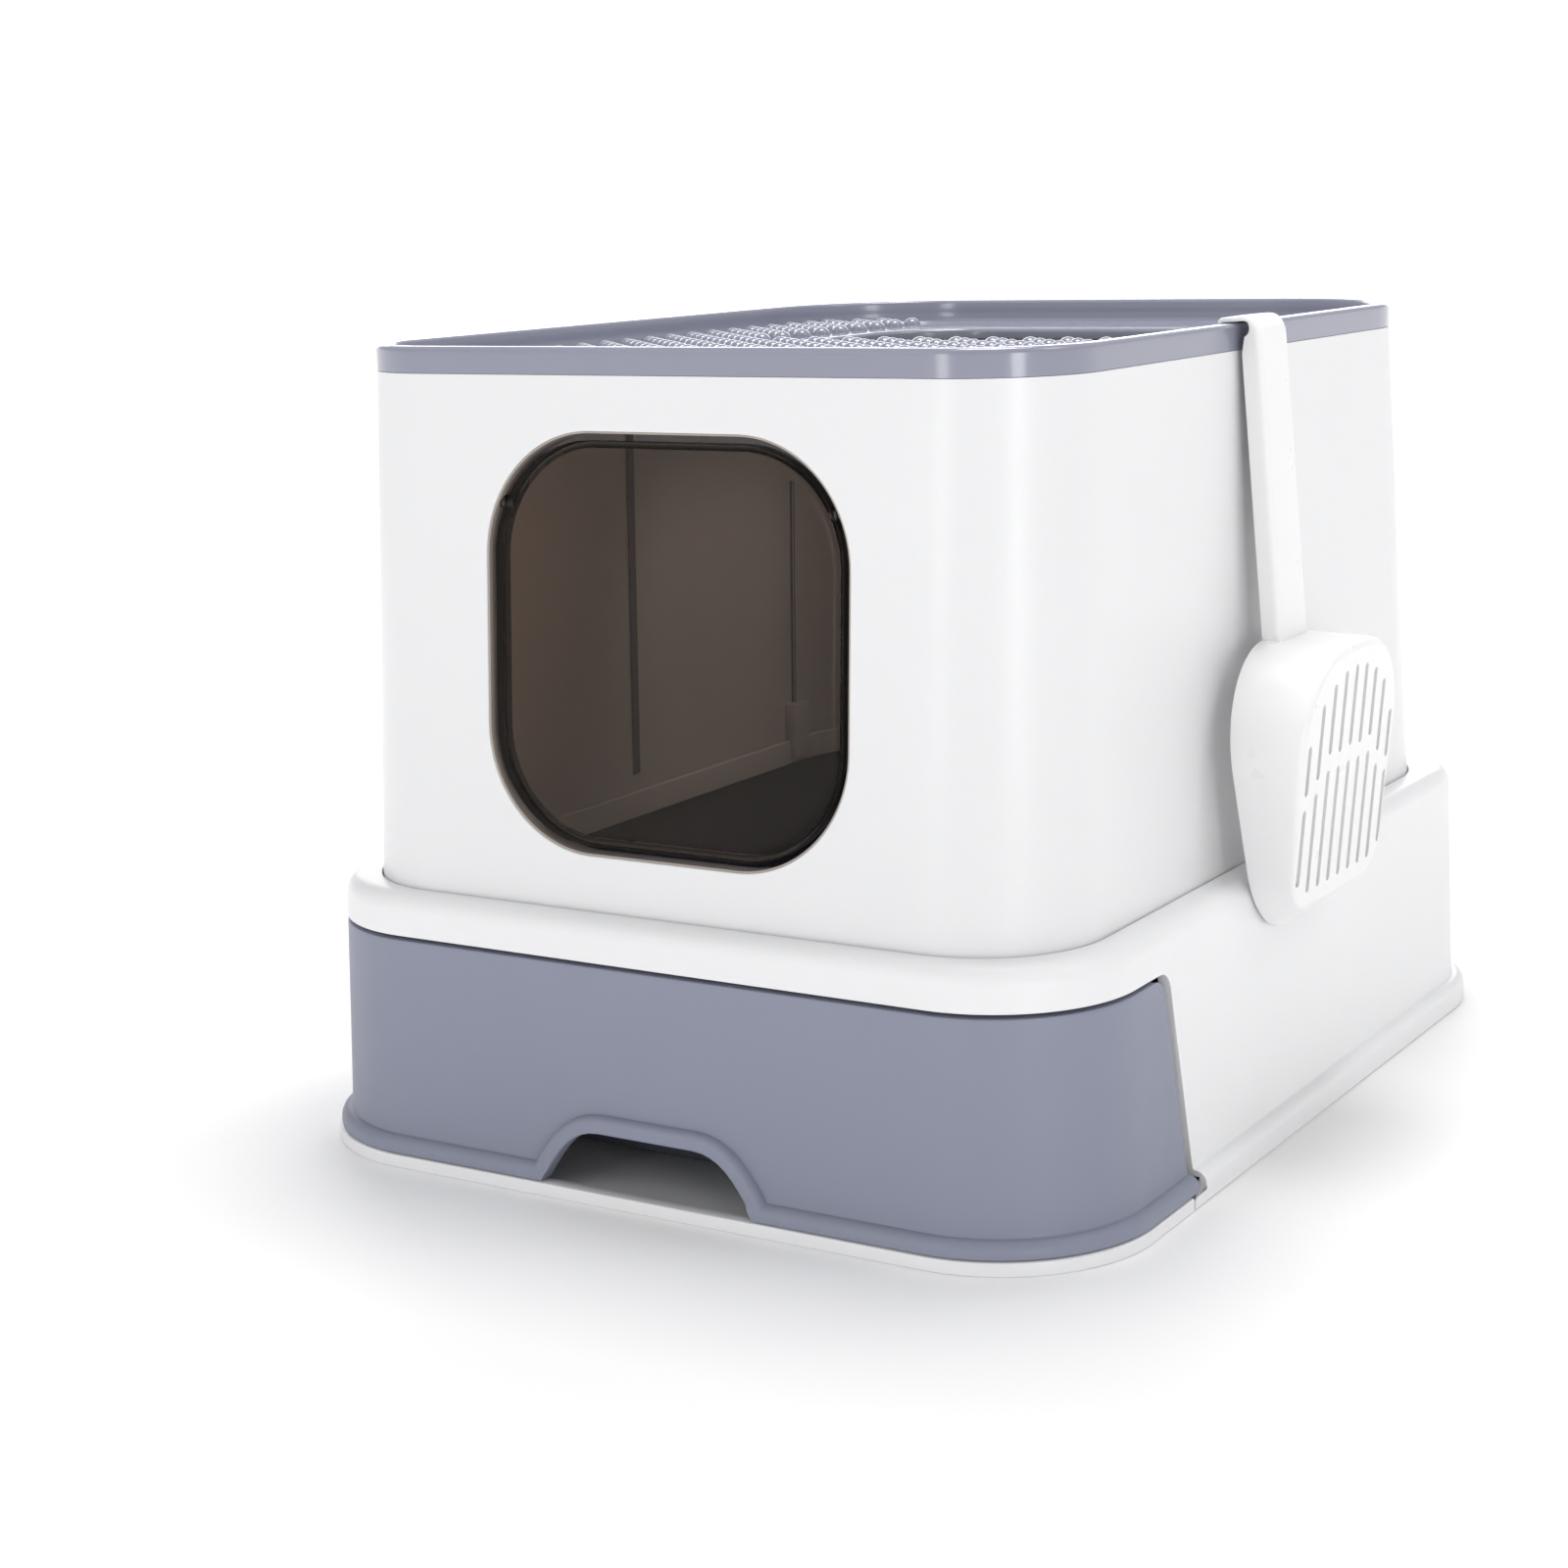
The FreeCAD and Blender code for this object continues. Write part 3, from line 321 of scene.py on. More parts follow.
# -------------------------------------------------------------------- base shell
def build_base_shell():
    """The base's wall: foot flange, bead, leaning wall, ledge, seat and drawer opening."""
    solid = Solid()
    rows, lower = [], []

    def add(height, outline, low, split=None):
        half_x, half_y, front, *rear = outline
        split = opening_edge(min(height, RAIL_Z)) if split is None else split
        ring = full_ring(half_x, half_y, front, (rear or [front])[0], 0.0, split)
        rows.append(raised(ring, height))
        lower.append(low)

    step_y = -147.4
    flange = FLANGE
    tight = (flange[0] - 0.8, flange[1] - 0.8, flange[2] - 0.8)
    add(0.0, tight, True, step_y)
    add(0.8, flange, True, step_y)
    add(5.0, flange, True, step_y)
    add(5.6, flange, True, step_y + 2.0)
    add(6.0, flange, True)
    add(BEAD_TOP - BEAD_ROUND - 1.0, flange, True)
    for c, s in quarter(7):
        inset = BEAD_ROUND * (1 - c)
        outline = tuple(v - inset for v in flange)
        add(BEAD_TOP - BEAD_ROUND + BEAD_ROUND * s, outline, True)
    half_x, half_y, radius = base_wall(BEAD_TOP)
    add(BEAD_TOP + 0.1, (half_x + 0.5, half_y + 0.5, radius + 0.5), True)
    add(BEAD_TOP + 0.4, (half_x + 0.2, half_y + 0.2, radius + 0.2), True)
    add(BEAD_TOP + 1.2, base_wall(BEAD_TOP + 1.2), True)
    heights = [18.0, 30.0, 45.0, 60.0, 75.0, 88.0, 96.0, 98.0, 100.0, 102.0, 103.6, 104.8, 105.5]
    for height in heights:
        add(height, base_wall(height), True)
    add(RAIL_Z, base_wall(RAIL_Z), True)
    rail_outer = len(rows) - 1
    add(RAIL_Z + 0.6, base_wall(RAIL_Z + 0.6, -0.05), False)
    add(111.0, base_wall(111.0), False)
    ledge_round = 8.5
    for c, s in quarter(9):
        height = LEDGE_Z - ledge_round + ledge_round * s
        add(height, base_wall(height, ledge_round * (1 - c)), False)
    gap, seat_z, groove_z, lip_foot, lip_in, under_z = 0.55, 120.2, 117.4, 106.5, 6.0, 115.6
    # the seat follows the hood's foot: its step, a narrow groove and the lip that hangs inside
    for height, inset in [
            (LEDGE_Z, -gap - 2.5), (LEDGE_Z, -gap - 0.7), (LEDGE_Z - 0.2, -gap - 0.2),
            (LEDGE_Z - 0.7, -gap), (seat_z, -gap), (seat_z, 2.7), (groove_z, 2.8),
            (groove_z, 4.5), (seat_z, 4.6), (seat_z, lip_in - 0.8), (seat_z - 0.8, lip_in),
            (lip_foot + 0.4, lip_in), (lip_foot, lip_in - 0.4), (lip_foot, WALL + 0.4),
            (lip_foot + 0.4, WALL), (under_z, WALL)]:
        add(height, hood_wall(HOOD_LOW, inset), False)
    add(under_z, base_wall(under_z, WALL), False)
    add(RAIL_Z + 0.6, base_wall(RAIL_Z + 0.6, WALL), False)
    add(RAIL_Z, base_wall(RAIL_Z, WALL), True)
    rail_inner = len(rows) - 1
    for height in reversed(heights):
        add(height, base_wall(height, WALL), True)
    add(11.0, base_wall(11.0, WALL), True)
    inner = tuple(v - WALL for v in flange)
    add(11.0, inner, True)
    add(0.0, inner, True, step_y)

    count = len(rows[0])
    # the front half runs from the left side's middle back to the right side's middle
    left_edge = HALF_COUNT - 1 + SPLIT
    right_edge = count - SPLIT

    def in_opening(j, i):
        after = (j + 1) % len(rows)
        return lower[j] and lower[after] and left_edge <= i < right_edge
    solid.grid(rows, round_path=True, round_profile=True, skip=in_opening)
    for i in range(left_edge, right_edge):
        solid.face([rows[rail_outer][i], rows[rail_outer][i + 1],
                    rows[rail_inner][i + 1], rows[rail_inner][i]])
    for i in (left_edge, right_edge % count):
        solid.face([row[i] for row, low in zip(rows, lower) if low])
    return solid.mesh("base_shell_visual")


# -------------------------------------------------------------------- base plate
def build_base_plate():
    """The front half of the foot flange and the slab inside it."""
    solid = Solid()
    half_x, half_y, radius = FLANGE
    profile = [(0.0, 0.5), (0.5, 0.0), (5.3, 0.0), (5.8, 0.2), (6.0, 0.7), (6.0, 7.2),
               (5.7, 7.8), (5.0, 8.0), (3.4, 8.0), (2.9, 8.4), (2.9, 12.0), (0.0, 12.0)]
    rows = [raised(half_ring(half_x - i, half_y - i, radius - i, -1, start=-148.8), z)
            for z, i in profile]
    solid.grid(rows, round_profile=True)
    solid.face([row[0] for row in rows])
    solid.face([row[-1] for row in rows])
    outline = (196.2, 251.2, 62.7, 62.7)
    slab = [(0.0, 0.0), (2.6, 0.0), (3.0, 0.4)]
    rows = [raised(full_ring(*(v - i for v in outline)), z) for z, i in slab]
    solid.grid(rows, round_path=True)
    solid.face(rows[0])
    solid.face(rows[-1])
    return solid.mesh("base_plate_visual")


# ------------------------------------------------------------------ drawer front
DRAWER_LOW, DRAWER_TOP = 6.5, 104.0
DRAWER_GAP = 5.5
PAN_RIM = (190.0, 234.0, 56.0)
PAN_MIDDLE = 8.0
NOTCH_FOOT, NOTCH_TOP, NOTCH_FLAT = 54.5, 32.0, 24.0
PATCH_HIGH = 60.0
PATCH_SIDE = 11
BEAD_HEIGHT = 4.4
BEAD_WIDTH = 7.6


def low_bead(height):
    """How far the rounded bead along the drawer's foot stands off the wall."""
    wall = base_wall(height)[0]
    flat = BEAD_TOP - BEAD_ROUND
    if height <= flat:
        proud = BEAD[0] - wall
        under = DRAWER_LOW + 0.8 - height
        return proud - (0.8 - math.sqrt(max(0.64 - under * under, 0.0)) if under > 0 else 0.0)
    if height <= BEAD_TOP:
        up = (height - flat) / BEAD_ROUND
        return BEAD[0] - BEAD_ROUND * (1 - math.sqrt(max(1 - up * up, 0.0))) - wall
    return max(0.0, 0.45 - 0.38 * (height - BEAD_TOP))


def arch_bead(off):
    """How far the bead round the notch stands proud, at a distance off its edge."""
    edge, shoulder = 0.9, 4.4
    if off < edge:
        return BEAD_HEIGHT - edge + math.sqrt(max(edge * edge - (edge - off) ** 2, 0.0))
    if off < shoulder:
        return BEAD_HEIGHT
    if off < BEAD_WIDTH:
        down = (off - shoulder) / (BEAD_WIDTH - shoulder)
        return BEAD_HEIGHT * math.sqrt(max(1 - down ** 2.2, 0.0))
    return 0.0


NOTCH_BEND = [Vector((NOTCH_FOOT, DRAWER_LOW)), Vector((46.8, 19.0)), Vector((39.5, NOTCH_TOP)),
              Vector((NOTCH_FLAT, NOTCH_TOP))]


def notch_place(t):
    """A point on the notch's right side, from its foot (0) to its flat top (1)."""
    start, first, second, stop = NOTCH_BEND
    return ((1 - t) ** 3 * start + 3 * (1 - t) ** 2 * t * first
            + 3 * (1 - t) * t * t * second + t ** 3 * stop)


def notch_shares(heights, level_top):
    """Steps up the notch's side that share the wall's heights as far as level_top."""
    shares = []
    for height in heights:
        if height > level_top:
            break
        low, high = 0.0, 1.0
        for _ in range(40):
            middle = (low + high) / 2
            if notch_place(middle).y < height:
                low = middle
            else:
                high = middle
        shares.append(low)
    return shares + spread(shares[-1], 1.0, len(heights) - len(shares))[1:]


def notch_curve(heights, top_steps):
    """The notch's edge from right foot to left foot as (x, z, normal x, normal z)."""
    start, first, second, stop = NOTCH_BEND
    right = []
    for t in notch_shares(heights, 22.0):
        place = notch_place(t)
        along = ((1 - t) ** 2 * (first - start) + 2 * (1 - t) * t * (second - first)
                 + t * t * (stop - second))
        normal = Vector((along.y, -along.x)).normalized()
        level = Vector((1 / normal.x, 0.0)) if normal.x > 0.3 else normal
        share = min(max((25.0 - place.y) / (25.0 - 15.7), 0.0), 1.0)
        normal = normal.lerp(level, share)
        right.append((place.x, place.y, normal.x, normal.y))
    top = [(x, NOTCH_TOP, 0.0, 1.0) for x in spread(NOTCH_FLAT, -NOTCH_FLAT, top_steps)][1:-1]
    return right + top + [(-x, z, -nx, nz) for x, z, nx, nz in reversed(right)]


def build_drawer_front():
    """The drawer's curved face with its foot bead and the grip notch."""
    solid = Solid()
    heights = [DRAWER_LOW, DRAWER_LOW + 0.25, DRAWER_LOW + 0.8, 8.0]
    heights += [BEAD_TOP - BEAD_ROUND + BEAD_ROUND * s for _, s in quarter(7)]
    heights += [14.3, 14.8, 15.6, 18.0, 22.0, 27.0, 33.0, 40.0, 50.0, PATCH_HIGH]
    patch_top = len(heights) - 1
    heights += [72.0, 84.0, 94.0, 96.0, 98.0, 100.0, 101.5, 102.6, 103.2]

    def ring(height, proud):
        half_x, half_y, radius = base_wall(height, -proud)
        edge = opening_edge(min(height + 2.0, RAIL_Z)) - DRAWER_GAP
        return raised(half_ring(half_x, half_y, radius, -1, start=edge), height)
    front = [ring(z, low_bead(z)) for z in heights]
    back = [ring(z, -WALL) for z in heights]
    top = [ring(103.8, -0.25), ring(DRAWER_TOP, -0.9)]
    pan_x, pan_y, pan_r = PAN_RIM
    inner_edge = opening_edge(RAIL_Z) - DRAWER_GAP
    web = half_ring(pan_x, pan_y - PAN_MIDDLE, pan_r, -1, start=inner_edge)
    top += [raised(web, DRAWER_TOP), raised(web, 101.0), ring(101.0, -WALL - 0.01)]
    web_low = 100.0
    low_back = [row for row, z in zip(back, heights) if z <= web_low]
    rows = front + top + low_back[::-1]
    left, right = FRONT_FIRST + PATCH_SIDE, FRONT_LAST - PATCH_SIDE

    def in_patch(j, i):
        height = max(rows[j][0].z, rows[(j + 1) % len(rows)][0].z)
        return height <= PATCH_HIGH + 0.01 and left <= i < right
    solid.grid(rows, round_profile=True, skip=in_patch)
    for i in (0, -1):
        for j in range(len(heights) - 1):
            if heights[j + 1] <= web_low:
                solid.face([front[j][i], front[j + 1][i], back[j + 1][i], back[j][i]])
        last = len(low_back) - 1
        solid.face([front[j][i] for j in range(last, len(heights))] + [row[i] for row in top]
                   + [back[last][i]])

    path = [row[left] for row in front[:patch_top + 1]]
    path += [front[patch_top][i] for i in range(left + 1, right)]
    path += [row[right] for row in front[:patch_top + 1]][::-1]
    curve = notch_curve(heights[:patch_top + 1], right - left)
    offs = [0.0, 0.12, 0.4, 0.9, 1.8, 3.1, 4.4, 5.2, 5.9, 6.5, 7.0, 7.35, BEAD_WIDTH, 8.1, 9.5]
    front_rings, back_rings = [], []
    blends = 7
    for step in range(len(offs) + blends):
        ahead, behind = [], []
        for (x, z, nx, nz), rim in zip(curve, path):
            off = offs[min(step, len(offs) - 1)]
            at = Vector((x + nx * off, max(z + nz * off, DRAWER_LOW)))
            share = max(0, step - len(offs) + 1) / blends
            at = at.lerp(Vector((rim.x, rim.z)), share)
            bead = arch_bead(off) if share == 0 else 0.0
            low = low_bead(at.y)
            proud = max(bead, low)
            if at.y < BEAD_TOP + 3:
                soft = 0.8
                near = max(soft - abs(bead - low), 0.0) / soft
                proud += near * near * soft * 0.25 * (bead > 0.2)
            wall = base_wall(at.y)[1]
            ahead.append(Vector((at.x, -wall - proud, at.y)))
            behind.append(Vector((at.x, -wall + WALL, at.y)))
        front_rings.append(ahead)
        back_rings.append(behind)
    solid.grid(front_rings)
    solid.grid(back_rings)
    solid.grid([front_rings[0], back_rings[0]])
    for i in (0, -1):
        solid.grid([[r[i] for r in front_rings], [r[i] for r in back_rings]])
    return solid.mesh("drawer_front_visual")


# -------------------------------------------------------------------- litter pan
def build_litter_pan():
    """The pan: a leaning tray with a rolled rim and a rounded floor."""
    def wall(height, inset):
        share = (height - 6.6) / (DRAWER_TOP - 6.6)
        half_x = mix(175.0, 186.0, share) - inset
        half_y = mix(218.0, 230.0, share) - inset
        radius = mix(46.0, 52.0, share) - inset
        points = full_ring(half_x, half_y, radius, radius)
        return raised([(x, y + PAN_MIDDLE) for x, y in points], height)
    profile = [(6.6, 9.0), (6.8, 6.0), (7.8, 3.0), (9.6, 1.1), (12.6, 0.0), (40.0, 0.0),
               (70.0, 0.0), (100.6, 0.0), (101.4, -0.6), (101.5, -3.4), (101.9, -4.0),
               (103.3, -4.0), (103.9, -3.5), (104.0, -2.6), (104.0, 1.2), (103.5, 2.2),
               (102.4, 2.6), (70.0, 2.6), (40.0, 2.6), (21.0, 2.6)]
    fillet = 11.0
    profile += [(21.0 - fillet * s, 2.6 + fillet * (1 - c)) for c, s in quarter(7)][1:]
    profile += [(9.8, 16.0), (9.6, 24.0)]
    rows = [wall(z, i) for z, i in profile]
    solid = Solid()
    solid.grid(rows, round_path=True)
    solid.face(rows[0])
    solid.face(rows[-1])
    return solid.mesh("litter_pan_visual")


# -------------------------------------------------------------------------- hood
DOOR_Z = 239.2
DOOR_HALF = (91.0, 90.5)
DOOR_CORNER = 54.0
UP = Vector((0, math.sin(HOOD_LEAN), math.cos(HOOD_LEAN)))
INWARD = Vector((0, math.cos(HOOD_LEAN), -math.sin(HOOD_LEAN)))
DOOR_CENTRE = Vector((0, -hood_wall(DOOR_Z)[1], DOOR_Z))
DOOR_STEPS = 240


def on_front(across, up, depth):
    """A point on the hood's leaning front wall, by its own directions."""
    return DOOR_CENTRE + Vector((across, 0, 0)) + up * UP + depth * INWARD


def door_ray(angle, off):
    """Where a ray from the entry's middle meets its outline grown by off."""
    half_x, half_z, radius = DOOR_HALF[0] + off, DOOR_HALF[1] + off, DOOR_CORNER + off
    c, s = math.cos(angle), math.sin(angle)
    flat_x, flat_z = half_x - radius, half_z - radius
    if abs(c) > 1e-9 and abs(half_x / c * s) <= flat_z:
        return half_x * math.copysign(1, c), half_x / abs(c) * s
    if abs(s) > 1e-9 and abs(half_z / s * c) <= flat_x:
        return half_z / abs(s) * c, half_z * math.copysign(1, s)
    mid_x, mid_z = math.copysign(flat_x, c), math.copysign(flat_z, s)
    along = c * mid_x + s * mid_z
    reach = along + math.sqrt(along * along - mid_x ** 2 - mid_z ** 2 + radius ** 2)
    return reach * c, reach * s


def door_loop(angles, off, depth):
    return [on_front(*door_ray(a, off), depth) for a in angles]


SEAM = 0.04


def hood_half(sign):
    """Rows of one hood half, and the numbers of its outer and inner wall rows."""
    heights = spread(HOOD_LOW, HOOD_HIGH, 30)
    inner_heights = spread(HOOD_LOW, 342.6, 30)
    profile = [(z, 0.0) for z in heights]
    profile += [(HOOD_HIGH, 2.25), (360.1, 2.25), (360.6, 2.7), (360.6, 3.4), (360.1, 3.85),
                (342.6, 3.85)]
    first_inner = len(profile)
    profile += [(z, WALL) for z in inner_heights[::-1]]
    rows = []
    for height, inset in profile:
        half_x, half_y, front, rear = hood_wall(height, inset)
        radius = front if sign < 0 else rear
        rows.append(raised(half_ring(half_x, half_y, radius, sign, start=sign * SEAM), height))
    return rows, len(heights) - 1, first_inner


def build_hood_rear():
    """The rear half of the hood's wall."""
    rows, _, _ = hood_half(1)
    solid = Solid()
    solid.grid(rows, round_profile=True)
    solid.face([row[0] for row in rows])
    solid.face([row[-1] for row in rows])
    return solid.mesh("hood_rear_visual")


def loop_round(rows, left, right):
    """The border of a block of a grid, from its lower left corner round and back."""
    border = [rows[0][i] for i in range(left, right)]
    border += [row[right] for row in rows[:-1]]
    border += [rows[-1][i] for i in range(right, left, -1)]
    border += [row[left] for row in rows[:0:-1]]
    return border


def build_hood_front():
    """The front half of the hood's wall with the entry and its short tunnel."""
    rows, last_outer, first_inner = hood_half(-1)
    solid = Solid()

    def is_panel(j, i):
        outer = j < last_outer
        inner = first_inner <= j < len(rows) - 1
        return (outer or inner) and FRONT_FIRST <= i < FRONT_LAST
    solid.grid(rows, round_profile=True, skip=is_panel)
    solid.face([row[0] for row in rows])
    solid.face([row[-1] for row in rows])

    borders = (loop_round(rows[:last_outer + 1], FRONT_FIRST, FRONT_LAST),
               loop_round(rows[first_inner:][::-1], FRONT_FIRST, FRONT_LAST))
    angles = []
    for border in borders:
        places = [((p - DOOR_CENTRE).x, (p - DOOR_CENTRE).dot(UP)) for p in border]
        angles.append([math.atan2(v, x) for x, v in places])
    wall = WALL * math.cos(HOOD_LEAN)
    lip, depth, ring = 0.7, 11.0, 2.5
    profile = [(9.0, 0.0), (4.0, 0.0), (lip + 0.6, 0.0), (lip + 0.15, 0.0)]
    profile += [(lip * (1 - s), lip * (1 - c)) for c, s in quarter(6)]
    profile += [(0.0, lip + 0.5), (0.0, depth - 1.2), (0.0, depth - 0.8), (0.25, depth - 0.25),
                (0.8, depth), (ring - 0.8, depth),
                (ring - 0.25, depth - 0.25), (ring, depth - 0.8), (ring, wall + 1.2),
                (ring + 0.35, wall + 0.35), (ring + 1.2, wall), (ring + 3.0, wall), (12.0, wall)]
    loops = []
    for number, (off, deep) in enumerate(profile):
        share = number / (len(profile) - 1)
        between = []
        for outer, inner in zip(*angles):
            turn = (inner - outer + math.pi) % (2 * math.pi) - math.pi
            between.append(outer + turn * share)
        loops.append(door_loop(between, off, deep))
    blends = 6
    first = [[b.lerp(p, k / blends) for b, p in zip(borders[0], loops[0])] for k in range(blends)]
    last = [[p.lerp(b, (k + 1) / blends) for p, b in zip(loops[-1], borders[1])]
            for k in range(blends)]
    solid.grid(first + loops + last, round_path=True)
    return solid.mesh("hood_front_visual")


# ------------------------------------------------------------- flap and its pins
FLAP_GAP = 3.8
PIVOT_Z = 298.0
PIVOT_RADIUS = 2.4
FLAP_RECESS = 1.0
FLAP_DEEP = 7.5
PIVOT_DEPTH = FLAP_RECESS + FLAP_DEEP / 2
RIM_ROWS = range(9, 18)


def build_door_flap():
    """A thin pane with a deeper rim. The rim's side, back and inner wall are the dark rows."""
    angles = full_turn(DOOR_STEPS)
    front = FLAP_RECESS
    deep = front + FLAP_DEEP
    profile = [(6.5, front + 0.35), (4.6, front + 0.35), (4.1, front + 0.25), (3.8, front + 0.05),
               (3.4, front), (1.6, front)]
    profile += [(1.2 * (1 - s), front + 1.2 * (1 - c)) for c, s in quarter(5)]
    profile += [(0.0, deep - 0.8), (0.25, deep - 0.25), (0.8, deep), (2.4, deep),
                (2.95, deep - 0.25), (3.2, deep - 0.8), (3.2, front + 3.6), (3.6, front + 2.6),
                (4.4, front + 2.25), (6.5, front + 2.2)]
    loops = [door_loop(angles, -FLAP_GAP - inset, depth) for inset, depth in profile]
    solid = Solid()
    solid.grid(loops, round_path=True, dark=RIM_ROWS)
    solid.face(loops[0])
    solid.face(loops[-1])
    return solid.mesh("door_flap_visual")


def build_reveal_shade_ring():
    """A darker ring that lines the entry a little inside the hood's lip: painted shade on the
    white reveal wall.
    """
    angles = full_turn(DOOR_STEPS)
    profile = [(-0.03, 0.95), (-0.2, 0.75), (-0.75, 0.75), (-0.9, 0.95), (-0.9, 10.4),
               (-0.75, 10.6), (-0.2, 10.6), (-0.03, 10.4)]
    solid = Solid()
    solid.grid([door_loop(angles, off, depth) for off, depth in profile], round_path=True,
               round_profile=True)
    return solid.mesh("reveal_shade_ring_visual")


def build_flap_pin(side):
    """A short pin with bevelled ends and a thin collar that keeps the flap centred."""
    lean = PIVOT_DEPTH / math.cos(HOOD_LEAN)
    y = -(hood_wall(PIVOT_Z)[1] - lean)
    profile = [(79.0, 0.0), (79.0, 1.9), (79.5, PIVOT_RADIUS), (82.2, PIVOT_RADIUS), (82.2, 3.0),
               (82.4, 3.2), (83.2, 3.2), (83.4, 3.0), (83.4, PIVOT_RADIUS), (91.9, PIVOT_RADIUS),
               (92.4, 1.9), (92.4, 0.0)]
    turns = full_turn(32)
    solid = Solid()
    rows = [[Vector((side * x, y + r * math.cos(a), PIVOT_Z + r * math.sin(a))) for a in turns]
            for x, r in profile[1:-1]]
    solid.grid(rows, round_path=True)
    solid.face(rows[0])
    solid.face(rows[-1])
    return solid.mesh("flap_pin_visual")


# --------------------------------------------------------------------------- lid
LIP_TOP = 364.4
TREAD_Z = 352.0
HATCH = (95.0, 76.0, 46.0)
HATCH_Y = 84.0
BUMP_PITCH, BUMP_RADIUS, BUMP_RISE = 19.5, 4.7, 4.7


def bump_places():
    """The tread's bumps in staggered rows, in front of the hatch and down both sides."""
    pitch, radius = BUMP_PITCH, BUMP_RADIUS
    side_limit, first_row, rear_limit = 156.0, -198.0, 190.0
    corner_x, corner_y = side_limit - 22, 180.0
    hook_x, hook_y, hook_half = 150.0, -21.0, 16.0
    hatch_border = 4 + radius + 1
    clear_x = HATCH[0] + hatch_border
    hatch_front = HATCH_Y - HATCH[1] - hatch_border
    row, y = 0, first_row
    while y <= rear_limit:
        x = -pitch * math.floor(side_limit / pitch) + (pitch / 2 if row % 2 else 0)
        while x <= side_limit:
            beside = y < hatch_front or abs(x) > clear_x
            in_corner = abs(x) > corner_x and abs(y) > corner_y
            under_hook = x > hook_x and abs(y - hook_y) < hook_half + radius + 1
            if beside and not in_corner and not under_hook:
                yield x, y
            x += pitch
        row += 1
        y += pitch / 2


def build_lid():
    """The lid: rim, sunken tread with bumps, and the hatch with its turned-down edge."""
    def rim(height, inset):
        half_x, half_y, front, rear = hood_wall(HOOD_HIGH, inset)
        return raised(full_ring(half_x, half_y, front, rear), height)

    def hatch(height, off):
        half_x, half_y, radius = (v + off for v in HATCH)
        points = full_ring(half_x, half_y, radius, radius)
        return raised([(x, y + HATCH_Y) for x, y in points], height)
    lip = 2.4
    rows = [rim(HOOD_HIGH + 0.05, 0.35), rim(HOOD_HIGH + 0.35, 0.0)]
    rows += [rim(z, 0.0) for z in (356.0, 360.0)]
    rows += [rim(LIP_TOP - lip + lip * s, lip * (1 - c)) for c, s in quarter(8)]
    rows += [rim(LIP_TOP, 3.6)]
    inner = 1.7
    rows += [rim(LIP_TOP - inner * (1 - c), 6.2 - inner + inner * s) for c, s in quarter(6)]
    rows += [rim(358.5, 6.2), rim(354.6, 6.25)]
    foot = 2.4
    rows += [rim(TREAD_Z + foot - foot * s, 6.3 + foot * (1 - c)) for c, s in quarter(6)]
    rows += [rim(TREAD_Z, 10.0), hatch(TREAD_Z, 5.5), hatch(TREAD_Z, 2.2)]
    edge = 2.0
    rows += [hatch(TREAD_Z - edge * (1 - c), edge * (1 - s)) for c, s in quarter(6)]
    rows += [hatch(346.6, 0.0), hatch(346.0, 0.6), hatch(346.0, 3.4), hatch(346.6, 4.0),
             hatch(349.5, 4.0), rim(349.5, 4.3), rim(362.4, 4.3), rim(362.4, 1.95),
             rim(HOOD_HIGH + 0.05, 1.95)]
    solid = Solid()
    solid.grid(rows, round_path=True, round_profile=True)
    skirt = 0.5
    profile = [(5.3, -0.3), (5.3, 0.0), (4.95, 0.12), (BUMP_RADIUS, skirt)]
    profile += [(BUMP_RADIUS * c, skirt + (BUMP_RISE - skirt) * s) for c, s in quarter(6)[1:-1]]
    profile += [(0.35, BUMP_RISE)]
    turns = full_turn(18)
    for x, y in bump_places():
        loops = [[Vector((x + r * math.cos(a), y + r * math.sin(a), TREAD_Z + z)) for a in turns]
                 for r, z in profile]
        solid.grid(loops, round_path=True)
        solid.face(loops[0])
        solid.face(loops[-1])
    return solid.mesh("lid_visual")


# ------------------------------------------------------------------------- scoop
SCOOP_SPOT = Vector((176.9, -21.0, 363.0))
SCOOP_LEAN = math.radians(4.7)


def scoop_place(across, up, out):
    """From the scoop's own directions to the frame: across, up the handle, off the wall."""
    return SCOOP_SPOT + Vector((out * math.cos(SCOOP_LEAN) - up * math.sin(SCOOP_LEAN), across,
                                up * math.cos(SCOOP_LEAN) + out * math.sin(SCOOP_LEAN)))


BOWL_START = 137.0
BACK_SLOPE = math.radians(9.7)
BACK_DROP, BACK_OUT = 4.5, 39.2


def bowl_outline(half, tip_half, top_round, tip_round, length):
    """The bowl's outline, from the middle of its top round by the tip and back."""
    lean = math.atan2(half - tip_half, length - top_round - tip_round)
    arc_top = Vector((half - top_round, -top_round))
    arc_tip = Vector((tip_half - tip_round, -length + tip_round))

    def arc(centre, radius, start, stop, steps):
        return [centre + radius * Vector((math.cos(a), math.sin(a)))
                for a in spread(start, stop, steps)]
    right = [Vector((x, 0.0)) for x in spread(0.0, arc_top.x, 4)][:-1]
    right += arc(arc_top, top_round, math.pi / 2, -lean, 22)
    right += arc(arc_tip, tip_round, -lean, -math.pi / 2, 22)
    straight = [right[25].lerp(right[26], t) for t in spread(0, 1, 10)][1:-1]
    right = right[:26] + straight + right[26:]
    right += [Vector((x, -length)) for x in spread(arc_tip.x, 0.0, 4)][1:]
    left = [Vector((-p.x, p.y)) for p in right[-2:0:-1]]
    return right + left


